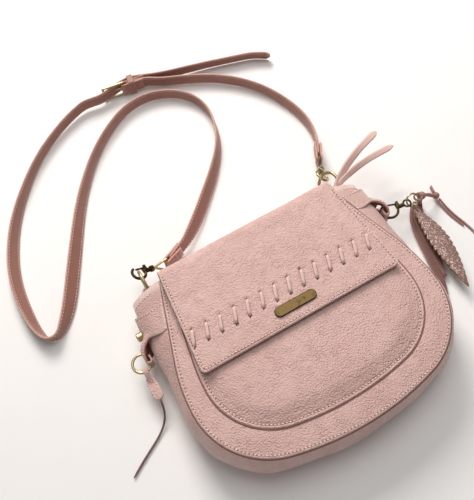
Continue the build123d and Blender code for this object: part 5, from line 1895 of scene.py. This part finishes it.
@dataclass
class Feather:
    """Leaf charm in glitter leather with cut barbs, a raised rib and a gilt back."""

    length: float = 87.6
    width: float = 19.5
    barbs: int = 15
    reach: float = 88.0

    def half_width(self, share: np.ndarray) -> np.ndarray:
        """Half width at shares of the length, before the barbs are cut."""
        places = [0.0, 0.06, 0.16, 0.30, 0.45, 0.62, 0.78, 0.90, 1.0]
        widths = [0.26, 0.34, 0.60, 0.90, 1.0, 0.86, 0.58, 0.30, 0.03]
        return np.interp(share, places, widths) * self.width / 2

    def make(self, root: np.ndarray, level: float) -> None:
        """Build the feather from its root.

        Args:
            root: Middle of its small ring, in plan.
            level: Underside of its leather.
        """
        share = np.linspace(0.0, 1.0, self.barbs * 10 + 1)
        saw = (share * self.barbs) % 1.0
        cut = np.where((share > 0.05) & (share < 0.96), 0.14 * (1 - saw) ** 2 + 0.03 * saw, 0.0)
        offset = 0.37
        saw_left = (share * self.barbs + offset) % 1.0
        cut_left = np.where((share > 0.05) & (share < 0.96), 0.30 * (1 - saw_left) ** 3 + 0.05 * saw_left, 0.0)
        half = self.half_width(share)
        columns = np.concatenate([np.linspace(-1, -0.06, 12), np.linspace(0.06, 1, 12)])
        x = np.where(columns[None, :] > 0, (half * (1 - cut))[:, None], (half * (1 - cut_left))[:, None]) * columns[None, :]
        middle = root[0] - 5.0 * share + 1.4 * np.sin(share * math.pi * 1.2)
        slant = np.abs(x) * 0.28
        y = root[1] + 0.3 - self.length * share[:, None] - slant * (share[:, None] < 0.97) * 0.5 + 0 * x
        y = np.maximum(y, root[1] - self.reach)
        curl = 2.2 * np.sin(share * math.pi)[:, None] * 0.5 + 1.2 * (np.abs(columns)[None, :] ** 2) * -1.0
        groove = 0.07 * np.sin((share[:, None] * self.barbs + np.abs(columns)[None, :] * 0.8) * 2 * math.pi)
        rib = 0.35 * np.exp(-((columns[None, :] / 0.13) ** 2))
        z = level + curl + rib + groove * (np.abs(columns)[None, :] > 0.15)
        grid_x = middle[:, None] + x
        top = np.dstack([grid_x, y, z + 1.1])
        back = np.dstack([middle[:, None] + x * 0.985, y, z - 0.1])
        shell = Shell()
        shell.lattice(top)
        for first, second in ((top[0], back[0]), (top[-1], back[-1]), (top[:, 0], back[:, 0]), (top[:, -1], back[:, -1])):
            shell.lattice(np.stack([first, second]), paint=1)
        shell.lattice(back, flip=True, paint=1)
        face = shell.build("feather_glitter_leather", (GLITTER, GOLD_FOIL))
        place(face, "feather", "glitter_leather", ["feather_leather"])
        foil = Shell()
        low = np.dstack([middle[:, None] + x * 1.0, y, z - 0.14])
        lower = low - np.array([0, 0, 0.55])
        foil.lattice(low)
        foil.lattice(lower, flip=True)
        for first, second in ((low[0], lower[0]), (low[-1], lower[-1]), (low[:, 0], lower[:, 0]), (low[:, -1], lower[:, -1])):
            foil.lattice(np.stack([first, second]))
        place(foil.build("feather_gilt_back", (GOLD_FOIL,)), "feather", "gold_backing", ["feather_backing"])



@dataclass
class CharmTassel:
    """Knotted mauve thongs behind the feather: a loop, two knots, two strips and a doubled lace."""

    knot: tuple[float, float, float]
    low_knot: tuple[float, float, float]
    loop: tuple[float, float, float]

    def knot_shape(self, shell: Shell, centre: np.ndarray, size: float, turn: float) -> None:
        """Wind a thong over itself into a knot.

        Args:
            shell: The shell that takes the knot.
            centre: Its middle.
            size: Its radius.
            turn: Angle of its first winding in degrees.
        """
        for index in range(3):
            angle = math.radians(turn + 62 * index)
            axis = np.array([math.cos(angle), math.sin(angle), 0.35 * (index - 1)])
            axis = axis / np.linalg.norm(axis)
            first = unit(np.cross(axis, (0.1, 0.2, 1.0)))
            second = np.cross(axis, first)
            angles = np.linspace(0, 2 * math.pi, 25)
            path = centre + size * 0.66 * (np.outer(np.cos(angles), first) + np.outer(np.sin(angles), second))
            path = path + np.outer(np.sin(angles * 2 + index), axis) * size * 0.16
            out = unit(path - centre)
            shell.tube(path, oval(size * 0.74, size * 0.5, 10, 0.7), np.cross(tangents(path), out), out)
        ball = []
        for tilt in np.linspace(-math.pi / 2, math.pi / 2, 9)[1:-1]:
            ring = circle(size * 0.72 * math.cos(tilt), 12)
            ball.append(np.column_stack([ring + centre[:2], np.full(12, centre[2] + size * 0.6 * math.sin(tilt))]))
        shell.lattice(np.array(ball), round_v=True)

    def strip(self, shell: Shell, points: Sequence[Sequence[float]], widths: Sequence[float]) -> None:
        """Lay a tapered strip along a line.

        Args:
            shell: The shell that takes it.
            points: Control points of its middle.
            widths: Width at each control point.
        """
        line = spline("strip_line", points, 8)
        wide = spline("strip_width", [(width, 0, 0) for width in widths], 8)[:, 0]
        way = tangents(line)
        side = unit(np.cross((0, 0, 1.0), way))
        up = np.cross(way, side)
        columns = np.linspace(-0.5, 0.5, 7)
        cup = 0.25 * np.cos(columns * math.pi)
        grid = line[:, None, :] + columns[None, :, None] * wide[:, None, None] * side[:, None, :] + cup[None, :, None] * up[:, None, :]
        shell.lattice(grid + 0.5 * up[:, None, :])
        shell.lattice(grid - 0.5 * up[:, None, :], flip=True)
        for first in (0, -1):
            shell.lattice(np.stack([grid[:, first] + 0.5 * up, grid[:, first] - 0.5 * up]), paint=1)
            shell.lattice(np.stack([grid[first] + 0.5 * up[first], grid[first] - 0.5 * up[first]]), paint=1)

    def make(self) -> None:
        """Build the loop, knots and strips."""
        knot, low, loop = np.array(self.knot), np.array(self.low_knot), np.array(self.loop)
        shell = Shell()
        angles = np.linspace(0, 2 * math.pi, 33)
        path = loop + 3.6 * np.column_stack([np.cos(angles), np.sin(angles), 0.06 * np.sin(2 * angles)])
        shell.tube(path, oval(1.7, 2.1, 10, 0.7), unit(path - loop), np.tile((0, 0, 1.0), (33, 1)))
        self.knot_shape(shell, knot, 4.0, 15.0)
        self.knot_shape(shell, low, 3.6, 70.0)
        link = spline("thong_link", [knot, knot * 0.65 + low * 0.35 + (0, 0.8, 1.2), knot * 0.3 + low * 0.7 + (0, -0.4, 0.3), low])
        sides, ups = carried_frames(link, (0, 0, 1))
        shell.tube(link, oval(3.4, 2.6, 10, 0.6), sides, ups)
        stem = np.array([knot, knot + (-0.4, -0.3, -2.0), (knot[0] - 1, knot[1] - 1, 5.2)])
        sides, ups = carried_frames(stem, (1, 0, 0))
        shell.tube(stem, oval(3.8, 3.2, 10, 0.6), sides, ups)
        stub = spline("thong_stub", [low, low + (-0.6, 3.4, 1.2), low + (0.2, 6.6, 0.8), low + (1.2, 10.0, 0.4)])
        sides, ups = carried_frames(stub, (0, 0, 1))
        shell.tube(stub, oval(5.0, 1.8, 10, 0.6), sides, ups)
        place(shell.build("charm_knotted_thong", (MAUVE,)), "charm", "mauve_leather", ["charm_knots"])
        strips = Shell()
        x, y = knot[0], knot[1]
        self.strip(
            strips,
            [(x - 1, y + 1.5, 3.7), (x - 9, y - 6, 3.2), (x - 17, y - 26, 3.0), (x - 23, y - 50, 3.0), (x - 29, y - 72, 3.0), (x - 33.6, y - 87, 3.0)],
            [8.0, 13.5, 13.0, 10.5, 8.0, 3.0],
        )
        self.strip(
            strips,
            [(x - 0.5, y + 1, 4.9), (x - 7, y - 6, 4.6), (x - 13, y - 24, 4.5), (x - 18, y - 48, 4.4), (x - 24.5, y - 73, 4.4)],
            [7.0, 10.0, 9.5, 8.0, 2.6],
        )
        place(strips.build("charm_leather_strips", (STRIP, RAW_EDGE)), "charm", "mauve_leather", ["charm_strips"])
        for name, spread, count, length in (("long", 1.4, 7, 57.3), ("short", -1.4, 5, 34.6)):
            route = [
                (low[0] + spread * 0.85, low[1] - 3.6, 3.6), (low[0] + 0.8 + spread * 0.9, low[1] - 9.5, 2.2),
                (low[0] + 1.4 + spread, low[1] - 17.5, 1.4), (low[0] + 3.2 + spread, low[1] - 27.0, 1.2),
                (low[0] + 5.8 + spread, low[1] - 37.5, 1.1), (low[0] + 7.4 + spread, low[1] - 48.5, 1.2),
                (low[0] + 7.0 + spread, low[1] - 60.0, 1.1),
            ]
            Lace(f"charm_lace_{name}_mauve", route[:count], length, "charm", f"charm_lace_{name}", MAUVE).make()


# ---- Hardware and studio --------------------------------------------------------------
@dataclass
class Hardware:
    """Metal pieces that keep the shape of the frame and take their finish here."""

    brass: tuple[str, ...] = (
        "corner_ring_left", "corner_ring_right", "side_stud", "side_ring", "charm_ring",
        "feather_ring", "buckle_frame", "buckle_prong", "zip_slider", "zip_pull_bail", "magnet_female", "magnet_male",
        "zip_end_stops", "hook_right", "hook_eye_left", "hook_gate_right",
    )
    # These parts take the darker brass; on the left hook, its gate and the right hook eye it is painted shade.
    dark: tuple[str, ...] = ("hook_left", "hook_gate_left", "hook_eye_right", "clasp", "clasp_gate", "zip_teeth", "flap_emblem")

    def make(self, nodes: dict[str, bpy.types.Object]) -> None:
        """Dress the metal nodes.

        Args:
            nodes: CAD nodes by name.
        """
        for names, finish in ((self.brass, BRASS), (self.dark, DARK_BRASS)):
            for name in names:
                for slot in nodes[name].material_slots:
                    slot.material = finish.material()
                LOG.info("%s is dressed in %s", name, finish.name)


@dataclass
class Studio:
    """Pale floor, soft lights and the camera."""

    camera_place: tuple[float, float, float] = (-113.4, -165.7, 584.0)
    right: tuple[float, float, float] = (0.86797, -0.49254, -0.06345)
    up: tuple[float, float, float] = (0.46806, 0.76867, 0.43597)
    lens: float = 50.4

    def camera(self) -> None:
        """Place the camera."""
        data = bpy.data.cameras.new("studio_camera")
        data.lens = self.lens
        data.sensor_width = 36.0
        data.clip_start, data.clip_end = 0.01, 20.0
        camera = bpy.data.objects.new("studio_camera", data)
        right, up = Vector(self.right).normalized(), Vector(self.up).normalized()
        back = right.cross(up).normalized()
        up = back.cross(right)
        turn = Matrix((right, up, back)).transposed().to_4x4()
        camera.matrix_world = Matrix.Translation(Vector(self.camera_place) * MM) @ turn
        bpy.context.scene.collection.objects.link(camera)
        bpy.context.scene.camera = camera

    def light(self, name: str, place_m: Sequence[float], size: float, power: float, colour: str) -> None:
        """Add a square soft light that looks at the bag.

        Args:
            name: The light's name.
            place_m: Its place in metres.
            size: Its side in metres.
            power: Its power in watts.
            colour: Its colour.
        """
        data = bpy.data.lights.new(name, "AREA")
        data.size, data.energy = size, power
        data.color = linear(colour)[:3]
        lamp = bpy.data.objects.new(name, data)
        lamp.location = place_m
        lamp.rotation_euler = (Vector((0.0, 0.1, 0.0)) - Vector(place_m)).to_track_quat("-Z", "Y").to_euler()
        bpy.context.scene.collection.objects.link(lamp)

    def make(self) -> None:
        """Build the floor, the lights and the camera."""
        shell = Shell()
        side = np.linspace(-2500, 2500, 9)
        x, y = np.meshgrid(side, side)
        shell.lattice(np.dstack([x, y, np.full_like(x, -0.6)]))
        floor = shell.build("studio_floor", (PAPER,))
        self.light("key_light", (0.15, 1.05, 0.95), 0.6, 15.5, "#fff9f4")
        self.light("top_light", (0.25, 0.35, 1.7), 1.0, 9.6, "#ffffff")
        self.light("fill_light", (-0.8, -0.9, 0.9), 1.0, 0.6, "#f4f6ff")
        world = bpy.data.worlds.new("studio_world")
        world.use_nodes = True
        world.node_tree.nodes["Background"].inputs["Color"].default_value = linear("#f3f1ef")
        world.node_tree.nodes["Background"].inputs["Strength"].default_value = 0.23
        bpy.context.scene.world = world
        bpy.context.scene.view_settings.view_transform = "Standard"
        self.camera()


def main() -> None:
    """Build the bag in order round its fixed frame."""
    logging.basicConfig(level=logging.INFO, format="%(message)s")
    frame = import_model()
    nodes = frame["nodes"]
    Studio().make()
    Strap().make(nodes)
    body = BagBody()
    body.make()
    PatchPocket().make()
    Flap().make()
    Zip().make()
    for side in Side:
        RingTab(side).make()
        GussetCap(side).make()
    SideWrap(Side.LEFT, 50.0, 78.0, 40.0).make(body)
    SideWrap(Side.RIGHT, 62.0, 85.0, 53.0).make(body)
    SidePull().make()
    low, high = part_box("charm_knots")
    ring_low, ring_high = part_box("charm_ring")
    reach = np.array(ring_high)[0] / MM
    knot = (reach + 4.2, np.array(ring_low + ring_high)[1] / 2 / MM + 0.3, 18.0)
    CharmTassel(knot, (knot[0] + 17.5, knot[1] - 2.0, 5.0), (knot[0] - 4.7, knot[1] - 0.3, 20.0)).make()
    small_low, small_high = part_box("feather_ring")
    root = np.array(small_low + small_high) / 2 / MM
    Feather().make(root[:2], root[2] - 1.8)
    LOG.info("knots lie between %s and %s", tuple(low), tuple(high))
    Hardware().make(nodes)


if __name__ == "__main__":
    main()
